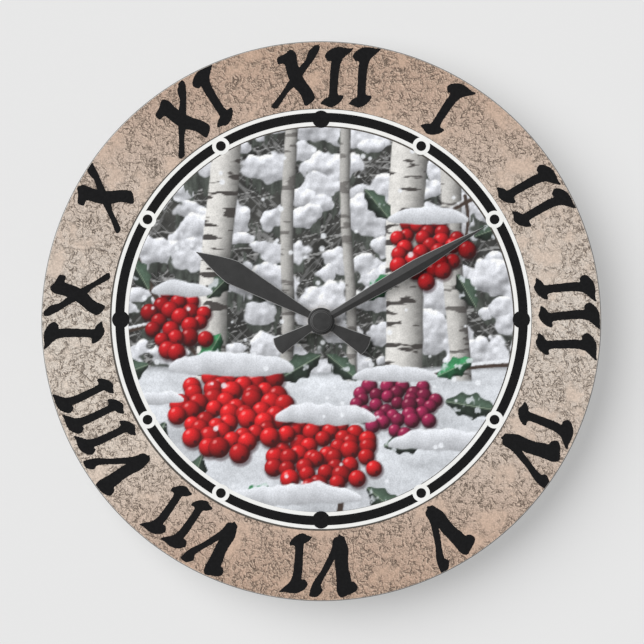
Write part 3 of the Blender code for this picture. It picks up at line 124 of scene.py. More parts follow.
STROKE_V_FALLING = [
    (-0.5, -17.5), (-2.4, -17.1), (-4.0, -16.8), (-4.7, -14.5), (-5.5, -12.8), (-6.2, -9.8),
    (-5.9, -6.7), (-6.0, -3.3), (-6.4, 0.2), (-7.2, 2.2), (-7.4, 4.6), (-7.9, 5.6), (-9.4, 5.8),
    (-11.0, 8.6), (-9.3, 10.8), (-6.2, 12.1), (-3.5, 13.3), (-2.1, 13.3), (-0.9, 12.0),
    (-0.2, 9.8), (-0.2, 6.3), (0.1, 2.2), (0.5, -2.2), (0.7, -3.9),
]
STROKE_V_RISING = [
    (-1.3, -16.8), (0.3, -16.4), (1.5, -15.6), (2.0, -13.9), (2.0, -12.5), (2.7, -9.8),
    (4.1, -6.7), (5.8, -3.3), (7.5, 0.2), (9.9, 3.6), (11.6, 6.3), (12.8, 9.4), (13.3, 11.8),
    (13.5, 12.8), (11.9, 13.2), (9.9, 13.3), (8.5, 12.5), (7.0, 10.8), (6.6, 9.4), (7.7, 8.0),
    (6.8, 5.6), (5.1, 2.2), (3.0, -1.2), (1.5, -4.3), (-1.5, -9.0), (-2.6, -14.0),
]
LETTERS = {
    "I": [STROKE_I],
    "X": [STROKE_X_FALLING, STROKE_X_RISING],
    "V": [STROKE_V_FALLING, STROKE_V_RISING],
}
# Each numeral: its letters, their width and height, and for each letter the place of its middle
# along the hour's tangent, how far it stands outside the numerals' orbit, and its turn in degrees.
# A width below zero turns the letters over, as the print does at nine.
NUMERALS = {
    1: ("I", (0.99, 0.99), [(0.5, 0.85, -0.8)]),
    2: ("II", (0.98, 0.99), [(-8.2, 0.85, -3.2), (5.5, 1.6, -3.4)]),
    3: ("III", (0.99, 0.99), [(-17.2, -0.8, -9.4), (-3.65, 1.4, -9.4), (10.6, 0.0, -5.4)]),
    4: ("IV", (0.99, 0.98), [(-12.55, -0.3, -12.4), (4.05, 0.6, -6.7)]),
    5: ("V", (0.97, 0.98), [(-0.85, 0.15, -7.9)]),
    6: ("VI", (0.98, 0.985), [(-7.25, 0.05, 0.3), (11.3, -2.0, 0.0)]),
    7: ("VII", (0.9, 0.945), [(-10.25, 1.2, 1.6), (6.85, -2.15, 0.8), (19.05, -3.2, 0.6)]),
    8: (
        "VIII",
        (0.87, 0.98),
        [(-12.6, 1.45, 1.8), (4.0, -0.95, 1.2), (15.85, -1.2, 0.8), (27.0, -1.85, 0.9)],
    ),
    9: ("IX", (-0.985, 0.99), [(-5.1, 1.05, 4.9), (13.35, -1.25, 3.7)]),
    10: ("X", (0.99, 0.99), [(0.15, 2.2, 1.5)]),
    11: ("XI", (1.0, 0.99), [(-9.3, -0.65, -4.8), (9.1, 1.85, -6.0)]),
    12: ("XII", (0.99, 0.99), [(-12.2, -0.65, 0.6), (6.45, 0.2, 0.0), (20.1, 0.1, -0.5)]),
}

# The centre picture: a winter study of birches, holly and berries under snow.
# Places are (across, up) in millimetres from the rings' centre, colours as a screen shows them.
PICTURE_CELL = 0.54
PICTURE_SHEET = 95.2
HORIZON = -24.0
BIRCHES = [
    (-17.0, 0.02, 3.1, 0.55),
    (14.0, -0.03, 2.5, 0.5),
    (66.0, -0.05, 5.0, 0.72),
    (-53.0, 0.07, 7.2, 1.0),
    (40.0, 0.03, 9.0, 1.0),
]
TWIGS = [
    ((-96, 44), (-84, 8), (-52, -28), 1.9),
    ((-60, -20), (-38, -30), (-26, -52), 1.3),
    ((-96, -6), (-80, -2), (-62, 2), 1.1),
    ((8, -98), (14, -74), (0, -52), 1.5),
    ((94, 66), (74, 62), (50, 44), 1.7),
    ((70, 60), (74, 42), (66, 30), 0.9),
    ((96, -22), (66, -22), (36, -32), 1.4),
]
BUNCHES = [
    ((52, 34), (19, 15), 26, 4.0, (196, 32, 38)),
    ((-70, -2), (15, 16), 20, 4.1, (190, 30, 36)),
    ((36, -42), (21, 13), 34, 3.6, (150, 38, 78)),
    ((0, -66), (27, 17), 40, 4.4, (206, 34, 38)),
    ((-42, -45), (30, 21), 52, 4.7, (212, 36, 40)),
]
LEAVES = [
    ((-84, -22), 200, 24, 0), ((-60, -26), 60, 22, 1), ((-76, -50), 245, 26, 0),
    ((-22, -30), 30, 25, 0), ((-16, -50), 330, 21, 1), ((-58, -66), 250, 22, 0),
    ((-84, 14), 120, 20, 0), ((-56, 10), 45, 18, 0), ((22, -82), 320, 24, 0),
    ((-26, -80), 225, 24, 1), ((30, -62), 10, 24, 0), ((60, -40), 350, 26, 0),
    ((56, -28), 25, 20, 1), ((18, -30), 140, 20, 0), ((34, 48), 130, 20, 0),
    ((74, 40), 20, 18, 0), ((36, 22), 220, 20, 1), ((66, 22), 300, 19, 0),
]
LEAF_TONES = ((66, 82, 70), (58, 128, 84))
SNOW_CAPS = [
    ((-44, -25), 31, 9, 1), ((-68, 13), 15, 6, 2), ((2, -49), 25, 8, 3), ((36, -29), 21, 6, 4),
    ((52, 48), 20, 6.5, 5), ((-80, -40), 13, 5, 6), ((62, -62), 30, 8, 7), ((-14, -88), 34, 8, 8),
]
FLAKES = 90

# Hands: (distance from the axis, half width) from waist to tip, the tail's length and half width,
# and the radii of the hub, the bore and the collet
HAND_SHEET = 0.4
HAND_ROOT = 2.0
EDGE_SLANT = 0.28
COLLET_LENGTH = 0.6
HUB_PROUD = 0.05
HUB_EASING = (0.05, 0.1, 0.3, 0.05)
COLLET_EASING = 0.08
HOUR_ANGLE = 298.95
HOUR_LENGTH = 69.8
HOUR_WAIST = (6.8, 1.9)
HOUR_SHOULDER = (49.0, 6.05)
HOUR_TAIL = (26.0, 5.0)
HOUR_SLOPE = 0.075
HOUR_FIT = (6.3, 2.6, 3.6)
MINUTE_ANGLE = 60.0
MINUTE_LENGTH = 93.0
MINUTE_WAIST = (11.2, 2.1)
MINUTE_BELLY = (53.5, 3.5)
MINUTE_TAIL = (25.6, 4.45)
MINUTE_SLOPE = 0.28
MINUTE_FIT = (6.6, 1.5, 2.6)
TAIL_SAG = 1.2
TAIL_WAIST = 1.4
TAIL_SLOPE = 0.04
CAP_RADIUS = 5.4
CAP_STEPS = [(5.4, 0.75), (5.15, 0.5), (4.65, 0.38), (4.4, 0.13), (2.2, 0.03), (0, 0)]

# The battery: where its sleeve starts, turns pale and ends along its length, the radii of its minus
# end's flat and brim, those of the shoulder at its plus end with its height, and the button's
CELL_BACK = -24.45
CELL_PALE = 13.5
CELL_FRONT = 24.2
MINUS_END = (4.6, 5.2)
SHOULDER = (5.6, 4.8)
SHOULDER_HEIGHT = 0.35
BUTTON_RADIUS = 2.75
CELL_STEPS = 160

# The threaded bush, the nut on it and the setting knob
BUSH_BORE = 2.7
BUSH_RADIUS = 4.0
BUSH_CHAMFER = 0.4
BUSH_FLANGE = 0.8
FLANGE_RADIUS = 5.8
THREAD_PITCH = 0.75
THREAD_DEPTH = 0.4
NUT_FLATS = 11.0
NUT_BORE = 4.2
NUT_CONE = 0.55
NUT_FACE = 5.35
NUT_STEPS = 240
KNOB_RADIUS = 6.0
KNOB_SOCKET = 1.28
SOCKET_DEPTH = 1.23
KNOB_SCALLOPS = 16
KNOB_DIP = 0.4
KNOB_STEPS = 20 * KNOB_SCALLOPS

# Where the parchment band turns paler, round a spot towards the lower left
PALE_SPOT = (-109.0, -51.0)
PALE_REACH = 80.0

# The arrow round the setting knob: its radius, the angles where it starts, widens and ends, and half
# the widths of its line and of its head
KNOB_AXIS = (6.83, 16.49)
ARROW_RADIUS = 9.0
ARROW_ANGLES = (-150.0, -60.0, -38.0)
ARROW_LINE = 0.3
ARROW_HEAD = 1.2

# The plain finishes by slot: two colours, then the least and the most roughness. Moulded ones have
# colours as a screen shows them, and may end with the size and depth of their flow marks. Metals
# have linear colours, and may end with how their drawn lines are stretched.
MOULDED = {
    "white_plastic": ((218, 217, 209), (229, 228, 221), 0.4, 0.52),
    "gear_plastic": ((222, 219, 208), (233, 231, 221), 0.34, 0.46),
    "knob_plastic": ((214, 213, 206), (228, 227, 221), 0.38, 0.5, 0.7),
    "washer_rubber": ((26, 26, 27), (36, 36, 37), 0.7, 0.85, 0.5, 0.03),
    "magnet": ((84, 84, 88), (102, 102, 105), 0.4, 0.6, 0.4, 0.03),
    "chip_resin": ((22, 22, 23), (30, 30, 31), 0.16, 0.3, 1.6, 0.05),
}
METALS = {
    "motor_steel": ((0.4, 0.4, 0.39), (0.5, 0.5, 0.49), 0.28, 0.42),
    "crystal_can": ((0.5, 0.5, 0.48), (0.6, 0.6, 0.58), 0.16, 0.28, (1, 1, 0.1)),
    "contact_steel": ((0.52, 0.52, 0.5), (0.62, 0.61, 0.58), 0.18, 0.3, (1, 0.1, 1)),
}

# Camera and light
CAMERA_AT = (0.34, 2201.5, -0.39)
LENS = 250.0
SENSOR = 36.0
CLIP = (50.0, 50000.0)
WALL_GREY = (0.799, 0.799, 0.799)
WALL_GLOW = 0.39
WALL_GAP = 0.5
WALL_HALF = 3000.0
KEY_TILT = 45.0
KEY_DIRECTION = -28.0
KEY_SPREAD = 60.0
KEY_STRENGTH = 3.15
BACK_DIRECTION = (-0.3, -0.85, -0.4)
BACK_SPREAD = 60.0
BACK_STRENGTH = 2.3
ROOM_LIGHT = 0.3


# Shapes


def grid_faces(rows, columns, around=False, along=False):
    """Four-cornered faces between neighbours of a grid of rows and columns.

    With around, each row's last corner joins its first; with along, the last row joins the first.
    """
    i, j = np.meshgrid(
        np.arange(rows if along else rows - 1),
        np.arange(columns if around else columns - 1),
        indexing="ij",
    )
    below = (i + 1) % rows
    beside = (j + 1) % columns
    corners = (i * columns + j, i * columns + beside, below * columns + beside, below * columns + j)
    return np.stack(corners, -1).reshape(-1, 4)


def places(across, out, up):
    """Stacks three arrays into places, stretching each to the common size."""
    return np.stack(np.broadcast_arrays(across, out, up), -1).astype(float)


def pairs(first, second):
    """Stacks two arrays into pairs, (across, up) or (radius, depth), stretching each as places does."""
    return np.stack(np.broadcast_arrays(first, second), -1).astype(float)


def circle(steps):
    """Evenly spaced ways out from a middle, clockwise from the top."""
    angle = np.arange(steps) / steps * TURN
    return pairs(np.sin(angle), np.cos(angle))


def placed(name, data):
    """An object for a mesh, lamp or camera, set in the scene."""
    made = bpy.data.objects.new(name, data)
    bpy.context.scene.collection.objects.link(made)
    return made


def piece(name, corners, faces, finish, body="base", sharp=SHARP, closed=True):
    """Makes a piece from places in millimetres and its faces, and sets it on its body.

    Closed shells are turned to face outwards; open sheets keep the order of their corners.
    """
    corners = np.asarray(corners, float).reshape(-1, 3)
    mesh = bpy.data.meshes.new(name)
    metres = corners * (MM, -MM, MM)
    mesh.from_pydata(metres.tolist(), [], [list(face) for face in faces])
    shell = bmesh.new()
    shell.from_mesh(mesh)
    bmesh.ops.remove_doubles(shell, verts=shell.verts[:], dist=1e-7)
    bmesh.ops.dissolve_degenerate(shell, edges=shell.edges[:], dist=1e-8)
    if closed:
        bmesh.ops.recalc_face_normals(shell, faces=shell.faces[:])
    shell.to_mesh(mesh)
    shell.free()
    mesh.polygons.foreach_set("use_smooth", np.ones(len(mesh.polygons), bool))
    mesh.set_sharp_from_angle(angle=math.radians(sharp))
    mesh.materials.append(finish)
    made = placed(name, mesh)
    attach(made, body)
    return made


def rounded(corners, radius, steps=4):
    """Each corner of a closed outline gives way to a parabola from one radius before it to one after."""
    corners = np.asarray(corners, float)
    radius = np.broadcast_to(np.asarray(radius, float), len(corners))[:, None]

    def towards(other):
        side = other - corners
        length = np.maximum(np.linalg.norm(side, axis=1, keepdims=True), 1e-9)
        return corners + side / length * np.minimum(radius, 0.45 * length)

    start = towards(np.roll(corners, 1, 0))[:, None]
    stop = towards(np.roll(corners, -1, 0))[:, None]
    t = np.linspace(0, 1, steps + 1)[None, :, None]
    curve = (1 - t) ** 2 * start + 2 * t * (1 - t) * corners[:, None] + t**2 * stop
    return curve.reshape(-1, 2)


def turned(profile, steps, centre=(0.0, 0.0), cut=None):
    """A closed profile of (radius, depth) carried round the line through centre: corners and faces.

    A profile that starts and ends on the line isn't closed along it. With cut, the radius is a
    function of the profile's radius, its depth and the angle.
    """
    profile = np.asarray(profile, float)
    angle = np.arange(steps) / steps * TURN
    radius, depth = profile[:, :1], profile[:, 1:]
    if cut:
        radius = cut(radius, depth, angle)
    across = centre[0] + radius * np.sin(angle)
    up = centre[1] + radius * np.cos(angle)
    corners = places(across, depth, up)
    on_line = profile[0, 0] == 0 and profile[-1, 0] == 0
    return corners.reshape(-1, 3), grid_faces(len(profile), steps, around=True, along=not on_line)


def ring_profile(inner, outer, near, far):
    """A rectangle between two radii and two depths."""
    return [(inner, near), (outer, near), (outer, far), (inner, far)]


def flowing(corners, steps=5):
    """A closed curve through given points, each span a cubic that leaves along its neighbours' line."""
    before, start, stop, after = (np.roll(corners, k, 0)[:, None] for k in (1, 0, -1, -2))
    t = (np.arange(steps) / steps)[None, :, None]
    cubic = (3 * start - before - 3 * stop + after) * t**3
    square = (2 * before - 5 * start + 4 * stop - after) * t**2
    return (0.5 * (2 * start + (stop - before) * t + square + cubic)).reshape(-1, 2)


def bristly(outline, height, seed):
    """An outline whose points move along their normals by a sum of waves of the length walked."""
    rng = np.random.default_rng(seed)
    ahead = np.roll(outline, -1, 0) - np.roll(outline, 1, 0)
    normal = ahead[:, ::-1] * (1, -1) / np.maximum(np.linalg.norm(ahead, axis=1, keepdims=True), 1e-9)
    walked = np.cumsum(np.linalg.norm(np.roll(outline, -1, 0) - outline, axis=1))
    share = walked / walked[-1] * TURN
    waves = rng.integers(18, 75, 8)[:, None]
    shift = np.sin(waves * share + rng.uniform(0, TURN, 8)[:, None]).sum(0) / 8
    return outline + normal * (height * 2 * shift)[:, None]


def slab(outline, near, far):
    """A flat plate between two depths, with straight sides."""
    count = len(outline)
    corners = np.concatenate([places(outline[:, 0], depth, outline[:, 1]) for depth in (near, far)])
    faces = grid_faces(2, count, around=True).tolist()
    faces.append(list(range(count)))
    faces.append(list(range(2 * count - 1, count - 1, -1)))
    return corners, faces


def joined(shells):
    """Several shells as one set of corners and faces."""
    corners, faces, start = [], [], 0
    for points, sides in shells:
        corners.append(points)
        faces += [[start + k for k in side] for side in sides]
        start += len(points)
    return np.concatenate(corners), faces


def turned_to(points, degrees):
    """Flat points turned clockwise, as a hand from twelve to its hour."""
    a = math.radians(degrees)
    across, up = points[..., 0], points[..., 1]
    return pairs(across * math.cos(a) + up * math.sin(a), up * math.cos(a) - across * math.sin(a))


def hashed(cells, seed):
    """A repeatable value from 0 to 1 for each whole-numbered cell."""
    mixed = np.sin(cells[..., 0] * 127.1 + cells[..., 1] * 311.7 + seed * 74.7) * 43758.5453
    return mixed - np.floor(mixed)


def clouds(points, size, seed, octaves=3):
    """Values about 0.5 that drift over this many millimetres: smoothed cell values, halved each octave."""
    total = 0.0
    weight = 0.0
    for octave in range(octaves):
        place = points / (size / 2**octave) + 17.3 * octave
        cell = np.floor(place)
        inside = place - cell
        share = inside * inside * (3 - 2 * inside)
        corner = [hashed(cell + step, seed + octave) for step in ((0, 0), (1, 0), (0, 1), (1, 1))]
        low = corner[0] + (corner[1] - corner[0]) * share[..., 0]
        high = corner[2] + (corner[3] - corner[2]) * share[..., 0]
        total = total + (low + (high - low) * share[..., 1]) / 2**octave
        weight += 1 / 2**octave
    return total / weight


def ease(value, low, high):
    """Rises smoothly from 0 at low to 1 at high."""
    t = np.clip((value - low) / (high - low), 0, 1)
    return t * t * (3 - 2 * t)


def linear(shown):
    """Values as a screen shows them, 0 to 255, in the linear values that the renderer uses."""
    share = np.asarray(shown, float) / 255
    return np.where(share <= 0.04045, share / 12.92, ((share + 0.055) / 1.055) ** 2.4)


def srgb(*colour):
    """A solid colour for a node, given as a screen shows it."""
    return (*linear(colour).tolist(), 1.0)


# Finishes


class Wiring:
    """Nodes being wired, of a material or of the world: each method adds one and gives its output."""

    def __init__(self, owner):
        owner.use_nodes = True
        self.tree = owner.node_tree
        self.tree.nodes.clear()

    def add(self, kind, inputs=None, **settings):
        node = self.tree.nodes.new(kind)
        for key, value in settings.items():
            setattr(node, key, value)
        for socket, value in (inputs or {}).items():
            if isinstance(value, bpy.types.NodeSocket):
                self.tree.links.new(value, node.inputs[socket])
            else:
                node.inputs[socket].default_value = value
        return node

    def maths(self, operation, *values):
        return self.add("ShaderNodeMath", dict(enumerate(values)), operation=operation).outputs[0]

    def times(self, first, second):
        return self.maths("MULTIPLY", first, second)

    def seen(self, path):
        """1 for what the camera sees, straight or by way of mirrors and clear pieces."""
        straight = self.maths("MAXIMUM", path["Is Camera Ray"], path["Is Glossy Ray"])
        return self.maths("MAXIMUM", straight, path["Is Transmission Ray"])


class Finish(Wiring):
    """A material being wired, with places in metres and the patterns that several materials share."""

    def __init__(self, name):
        self.material = bpy.data.materials.new(name)
        super().__init__(self.material)
        coordinates = self.add("ShaderNodeTexCoord").outputs
        self.place = coordinates["Object"]
        self.normal = coordinates["Normal"]

    def noise(self, size, detail=3.0, rough=0.55, twist=0.0, at=None):
        """Cloudy values about 0.5, in patches about this many millimetres across."""
        inputs = {
            "Vector": at or self.place,
            "Scale": 1 / (size * MM),
            "Detail": detail,
            "Roughness": rough,
            "Distortion": twist,
        }
        return self.add("ShaderNodeTexNoise", inputs).outputs["Fac"]

    def waves(self, size, twist, detail, detail_scale=1.0, **kind):
        """Evenly spaced waves, bent by twist."""
        inputs = {
            "Vector": self.place,
            "Scale": 1 / (size * MM),
            "Distortion": twist,
            "Detail": detail,
            "Detail Scale": detail_scale,
        }
        return self.add("ShaderNodeTexWave", inputs, **kind).outputs[1]

    def mapped(self, stretch=(1.0, 1.0, 1.0), shift=(0.0, 0.0, 0.0), turn=(0.0, 0.0, 0.0)):
        """The place, shifted in millimetres, turned in degrees and stretched."""
        inputs = {
            "Vector": self.place,
            "Location": [value * MM for value in shift],
            "Rotation": [math.radians(value) for value in turn],
            "Scale": stretch,
        }
        return self.add("ShaderNodeMapping", inputs).outputs["Vector"]

    def axis(self, which, at=None):
        """One coordinate in metres: X across, Y into the wall, Z up."""
        return self.add("ShaderNodeSeparateXYZ", {"Vector": at or self.place}).outputs[which]

    def distance(self, centre=(0.0, 0.0)):
        """How far the place lies from a line that runs out from the wall at this centre."""
        flat = self.mapped(stretch=(1.0, 0.0, 1.0), shift=(-centre[0], 0.0, -centre[1]))
        return self.add("ShaderNodeVectorMath", {0: flat}, operation="LENGTH").outputs["Value"]

    def span(self, value, low, high, to_low=0.0, to_high=1.0):
        """A value smoothly carried from one range to another, and held at its ends."""
        inputs = {0: value, 1: low, 2: high, 3: to_low, 4: to_high}
        return self.add("ShaderNodeMapRange", inputs, interpolation_type="SMOOTHSTEP").outputs[0]

    def drift(self, size, low=0.0, high=1.0, detail=3.0, rough=0.55):
        """Cloudy values that pass smoothly between a low and a high one."""
        return self.span(self.noise(size, detail, rough), 0.3, 0.7, low, high)

    def ramp(self, value, stops):
        """Colours along a value."""
        node = self.add("ShaderNodeValToRGB", {"Fac": value})
        band = node.color_ramp
        while len(band.elements) < len(stops):
            band.elements.new(0.5)
        for element, (position, colour) in zip(band.elements, stops):
            element.position = position
            element.color = colour
        return node.outputs["Color"]

    def mix(self, factor, first, second, mode="MIX"):
        inputs = {0: factor, 6: first, 7: second}
        return self.add("ShaderNodeMix", inputs, data_type="RGBA", blend_type=mode).outputs[2]

    def grained(self, colour, grain):
        """A colour made lighter and darker by a value about 1."""
        grey = self.add("ShaderNodeCombineColor", {0: grain, 1: grain, 2: grain}).outputs[0]
        return self.mix(1.0, colour, grey, "MULTIPLY")

    def relief(self, height, depth):
        """A bump whose full height stands this many millimetres proud."""
        return self.add("ShaderNodeBump", {"Height": height, "Distance": depth * MM}).outputs["Normal"]

    def facing(self):
        """1 where the surface faces straight out from the wall or back to it, and 0 on its sides."""
        return self.maths("ABSOLUTE", self.axis("Y", self.normal))

    def finish(self, surface):
        self.add("ShaderNodeOutputMaterial", {"Surface": surface})
        return self.material

    def shade(self, colour, rough, normal=None, gloss=0.5, metallic=0.0):
        """The surface shader, with gloss as its specular level."""
        inputs = {
            "Base Color": colour,
            "Roughness": rough,
            "Specular IOR Level": gloss,
            "Metallic": metallic,
        }
        if normal is not None:
            inputs["Normal"] = normal
        return self.finish(self.add("ShaderNodeBsdfPrincipled", inputs).outputs[0])


def parchment():
    """The printed band: warm at top and bottom and paler at the sides, under curly embossed hairlines."""
    make = Finish("parchment")
    height = make.maths("ABSOLUTE", make.axis("Z"))
    share = make.maths("DIVIDE", height, DISC_RADIUS * MM)
    stops = [
        (0.0, srgb(214, 205, 195)),
        (0.45, srgb(206, 190, 177)),
        (0.8, srgb(193, 166, 148)),
        (1.0, srgb(186, 157, 137)),
    ]
    ground = make.ramp(share, stops)
    patches = make.span(make.noise(14, 3.0, 0.6), 0.34, 0.5, 0.12, 1.0)
    plain = make.times(make.maths("SUBTRACT", 1.0, patches), 0.35)
    ground = make.mix(plain, ground, srgb(214, 184, 160))
    # The band is paler round one spot towards the lower left
    paler_share = make.span(make.distance(PALE_SPOT), 0.0, PALE_REACH * MM, 0.42, 0.0)
    ground = make.mix(paler_share, ground, srgb(235, 226, 214))

    def curls(shift):
        """Thin lines where a cloud passes through one of its levels: long ones, and fainter short ones."""
        near = make.mapped(shift=(shift, 0.0, shift))
        wide = make.times(make.noise(4.6, 5.0, 0.66, 0.5, at=near), 4.0)
        long = make.span(make.maths("PINGPONG", wide, 0.5), 0.04, 0.15, 1.0, 0.0)
        fine = make.maths("SUBTRACT", make.noise(1.7, 2.0, 0.55, 1.4, at=near), 0.5)
        short = make.span(make.maths("ABSOLUTE", fine), 0.015, 0.06, 0.55, 0.0)
        return make.times(make.maths("MAXIMUM", long, short), patches)

    dark = curls(0.0)
    light = curls(0.42)
    colour = make.mix(make.times(light, 0.42), ground, srgb(240, 219, 197))
    colour = make.mix(make.times(dark, 0.85), colour, srgb(52, 38, 30))
    colour = make.grained(colour, make.drift(0.9, 0.82, 1.14, rough=0.7))
    return make.shade(colour, make.drift(6, 0.5, 0.62), make.relief(dark, 0.01), gloss=0.18)


def black_ink():
    """Printing black, a little greyer and raised where it lies thicker."""
    make = Finish("black_ink")
    cover = make.span(make.noise(1.4, 4.0, 0.65), 0.35, 0.7)
    colour = make.mix(cover, srgb(14, 14, 15), srgb(22, 22, 23))
    rough = make.drift(3.5, 0.5, 0.66)
    return make.shade(colour, rough, make.relief(cover, 0.008), gloss=0.08)


def white_ink():
    """Printing white, with a faint drift of tone."""
    make = Finish("white_ink")
    colour = make.mix(make.drift(5), srgb(237, 237, 234), srgb(242, 242, 240))
    rough = make.drift(3.5, 0.48, 0.6)
    return make.shade(colour, rough, make.relief(make.noise(0.7), 0.004), gloss=0.18)


def shade_ink():
    """The dark warm grey that shows beside the rings."""
    make = Finish("shade_ink")
    colour = make.mix(make.drift(2.2), srgb(70, 66, 61), srgb(88, 83, 77))
    return make.shade(colour, make.drift(3.5, 0.5, 0.62), gloss=0.18)


def painted_ink(name):
    """Ink whose colour is painted on the mesh corners, with a fine print grain over it."""
    make = Finish(name)
    paint = make.add("ShaderNodeVertexColor", layer_name="paint").outputs["Color"]
    colour = make.grained(paint, make.drift(0.8, 0.88, 1.1, rough=0.7))
    rough = make.drift(4, 0.48, 0.62)
    return make.shade(colour, rough, make.relief(make.noise(0.9), 0.004), gloss=0.18)


def acrylic():
    """White-backed acrylic: its rounded rims are coloured dark as painted shade, its cut edge is pale."""
    make = Finish("acrylic")
    haze = make.span(make.noise(45, 2.0), 0.25, 0.75)
    colour = make.mix(haze, srgb(232, 231, 227), srgb(236, 235, 231))
    # Painted shade: the rounded rims, front and back, are coloured dark grey all round
    rim = make.span(make.distance(), (DISC_RADIUS - EDGE_ROUND) * MM, (DISC_RADIUS - 0.2) * MM)
    colour = make.mix(rim, colour, srgb(76, 73, 70))
    cut = make.times(rim, make.span(make.facing(), 0.05, 0.3, 1.0, 0.0))
    streaks = make.span(make.noise(1.2, 3.0, at=make.mapped(stretch=(1.0, 0.1, 1.0))), 0.3, 0.7)
    colour = make.mix(cut, colour, make.mix(streaks, srgb(168, 170, 168), srgb(190, 192, 190)))
    rough = make.span(make.noise(30, 3.0, 0.5), 0.3, 0.75, 0.2, 0.28)
    scuffs = make.noise(1.0, 2.0, at=make.mapped(stretch=(0.15, 1.0, 3.0), turn=(0, 23, 0)))
    return make.shade(colour, rough, make.relief(scuffs, 0.003), gloss=0.4)


def hand_paint():
    """Semi-matt charcoal paint on pressed sheet, with a painted highlight along its slanting edges, faint on
    the cap's.
    """
    make = Finish("hand_paint")
    speck = make.span(make.noise(0.22, 2.0, 0.6), 0.35, 0.7)
    colour = make.mix(make.drift(5), srgb(37, 37, 37), srgb(45, 45, 45))
    colour = make.mix(make.times(speck, 0.35), colour, srgb(59, 59, 59))
    # Painted highlight: faces slanting between front and side are coloured pale grey, weaker on the cap
    facing = make.facing()
    slant = make.times(make.span(facing, 0.2, 0.45), make.span(facing, 0.86, 0.92, 1.0, 0.0))
    off_cap = make.span(make.distance(), CAP_RADIUS * MM, (CAP_RADIUS + 0.5) * MM, 0.22, 1.0)
    colour = make.mix(make.times(slant, off_cap), colour, srgb(150, 150, 150))
    rough = make.drift(2.5, 0.36, 0.5)
    return make.shade(colour, rough, make.relief(speck, 0.012), gloss=0.25)


def knob_arrow(make):
    """1 on the bent arrow beside the setting knob, on the outside of the case, and 0 elsewhere."""
    away = make.maths("ABSOLUTE", make.maths("SUBTRACT", make.distance(KNOB_AXIS), ARROW_RADIUS * MM))
    knob = make.mapped(shift=(-KNOB_AXIS[0], 0.0, -KNOB_AXIS[1]))
    angle = make.maths("ARCTAN2", make.axis("Z", knob), make.axis("X", knob))
    start, neck, tip = (math.radians(value) for value in ARROW_ANGLES)
    begun = make.span(angle, start, start + 0.02)
    line = make.times(begun, make.span(angle, neck, neck + 0.02, 1, 0))
    soft = 0.05
    near = make.span(away, (ARROW_LINE - soft) * MM, (ARROW_LINE + soft) * MM, 1.0, 0.0)
    line = make.times(line, near)
    half = make.times(make.maths("SUBTRACT", tip, angle), ARROW_HEAD * MM / (tip - neck))
    head = make.span(make.maths("SUBTRACT", half, away), 0.0, 2 * soft * MM)
    head = make.times(head, make.maths("GREATER_THAN", angle, neck))
    outside = make.span(make.axis("Y"), -0.1 * MM, -0.05 * MM)
    return make.times(make.maths("MAXIMUM", line, head), outside)


def case_plastic():
    """Black moulded plastic with a fine spark-eroded texture, and an arrow cut beside the setting knob."""
    make = Finish("case_plastic")
    arrow = knob_arrow(make)
    worn = make.span(make.noise(11, 4.0), 0.35, 0.7)
    colour = make.mix(worn, srgb(31, 31, 32), srgb(42, 42, 43))
    colour = make.mix(make.times(arrow, 0.7), colour, srgb(92, 92, 93))
    texture = make.maths("SUBTRACT", make.noise(0.42, 3.0, 0.65), make.times(arrow, 3.0))
    rough = make.drift(5, 0.46, 0.62)
    return make.shade(colour, rough, make.relief(texture, 0.05), gloss=0.45)


def moulded(name, low, high, rough_low, rough_high, grain=1.2, depth=0.012):
    """Plain moulded plastic or resin: a slight drift of colour, gloss that varies, and soft flow marks."""
    make = Finish(name)
    colour = make.mix(make.drift(3.2), srgb(*low), srgb(*high))
    flow = make.noise(grain, 3.0, 0.6, 0.4)
    return make.shade(colour, make.drift(2.0, rough_low, rough_high), make.relief(flow, depth))


def metal(name, low, high, rough_low, rough_high, stretch=(1.0, 1.0, 1.0)):
    """Bare metal: fine drawn or brushed lines along the stretched way, and uneven gloss."""
    make = Finish(name)
    lines = make.noise(0.5, 3.0, 0.6, at=make.mapped(stretch=stretch))
    colour = make.mix(make.drift(4.0, detail=4.0), (*low, 1.0), (*high, 1.0))
    rough = make.span(lines, 0.3, 0.7, rough_low, rough_high)
    return make.shade(colour, rough, make.relief(lines, 0.006), metallic=1.0)


def turned_brass():
    """Brass with the fine rings that a lathe leaves round the clock's axis."""
    make = Finish("turned_brass")
    rings = make.waves(1.4, 0.6, 2.0, wave_type="RINGS", rings_direction="Y")
    colour = make.mix(make.drift(3.0, detail=4.0), (0.55, 0.37, 0.14, 1), (0.66, 0.48, 0.22, 1))
    rough = make.span(rings, 0.0, 1.0, 0.22, 0.34)
    return make.shade(colour, rough, make.relief(rings, 0.01), metallic=1.0)


def copper_wire():
    """Enamelled wire wound closely along the coil: bands of painted shade and highlight across its length."""
    make = Finish("copper_wire")
    wires = make.waves(1.5, 0.8, 1.0, 2.0, wave_type="BANDS", bands_direction="X")
    # Painted shade and highlight: dark copper in the grooves between turns, bright copper on their crowns
    colour = make.mix(wires, (0.3, 0.09, 0.03, 1), (0.72, 0.27, 0.1, 1))
    return make.shade(colour, make.span(wires, 0, 1, 0.4, 0.24), make.relief(wires, 0.05), metallic=0.8)


def circuit_laminate():
    """Green solder mask over copper tracks: the tracks stand out as paler, slightly raised bands."""
    make = Finish("circuit_laminate")
    tracks = make.span(make.waves(5.2, 1.2, 1.0, wave_type="BANDS", bands_direction="X"), 0.68, 0.74)
    weave = make.noise(0.6, 2.0)
    colour = make.mix(tracks, (0.012, 0.06, 0.03, 1), (0.03, 0.15, 0.07, 1))
    colour = make.mix(make.times(weave, 0.2), colour, (0.05, 0.12, 0.07, 1))
    return make.shade(colour, make.span(weave, 0.3, 0.7, 0.3, 0.45), make.relief(tracks, 0.035))


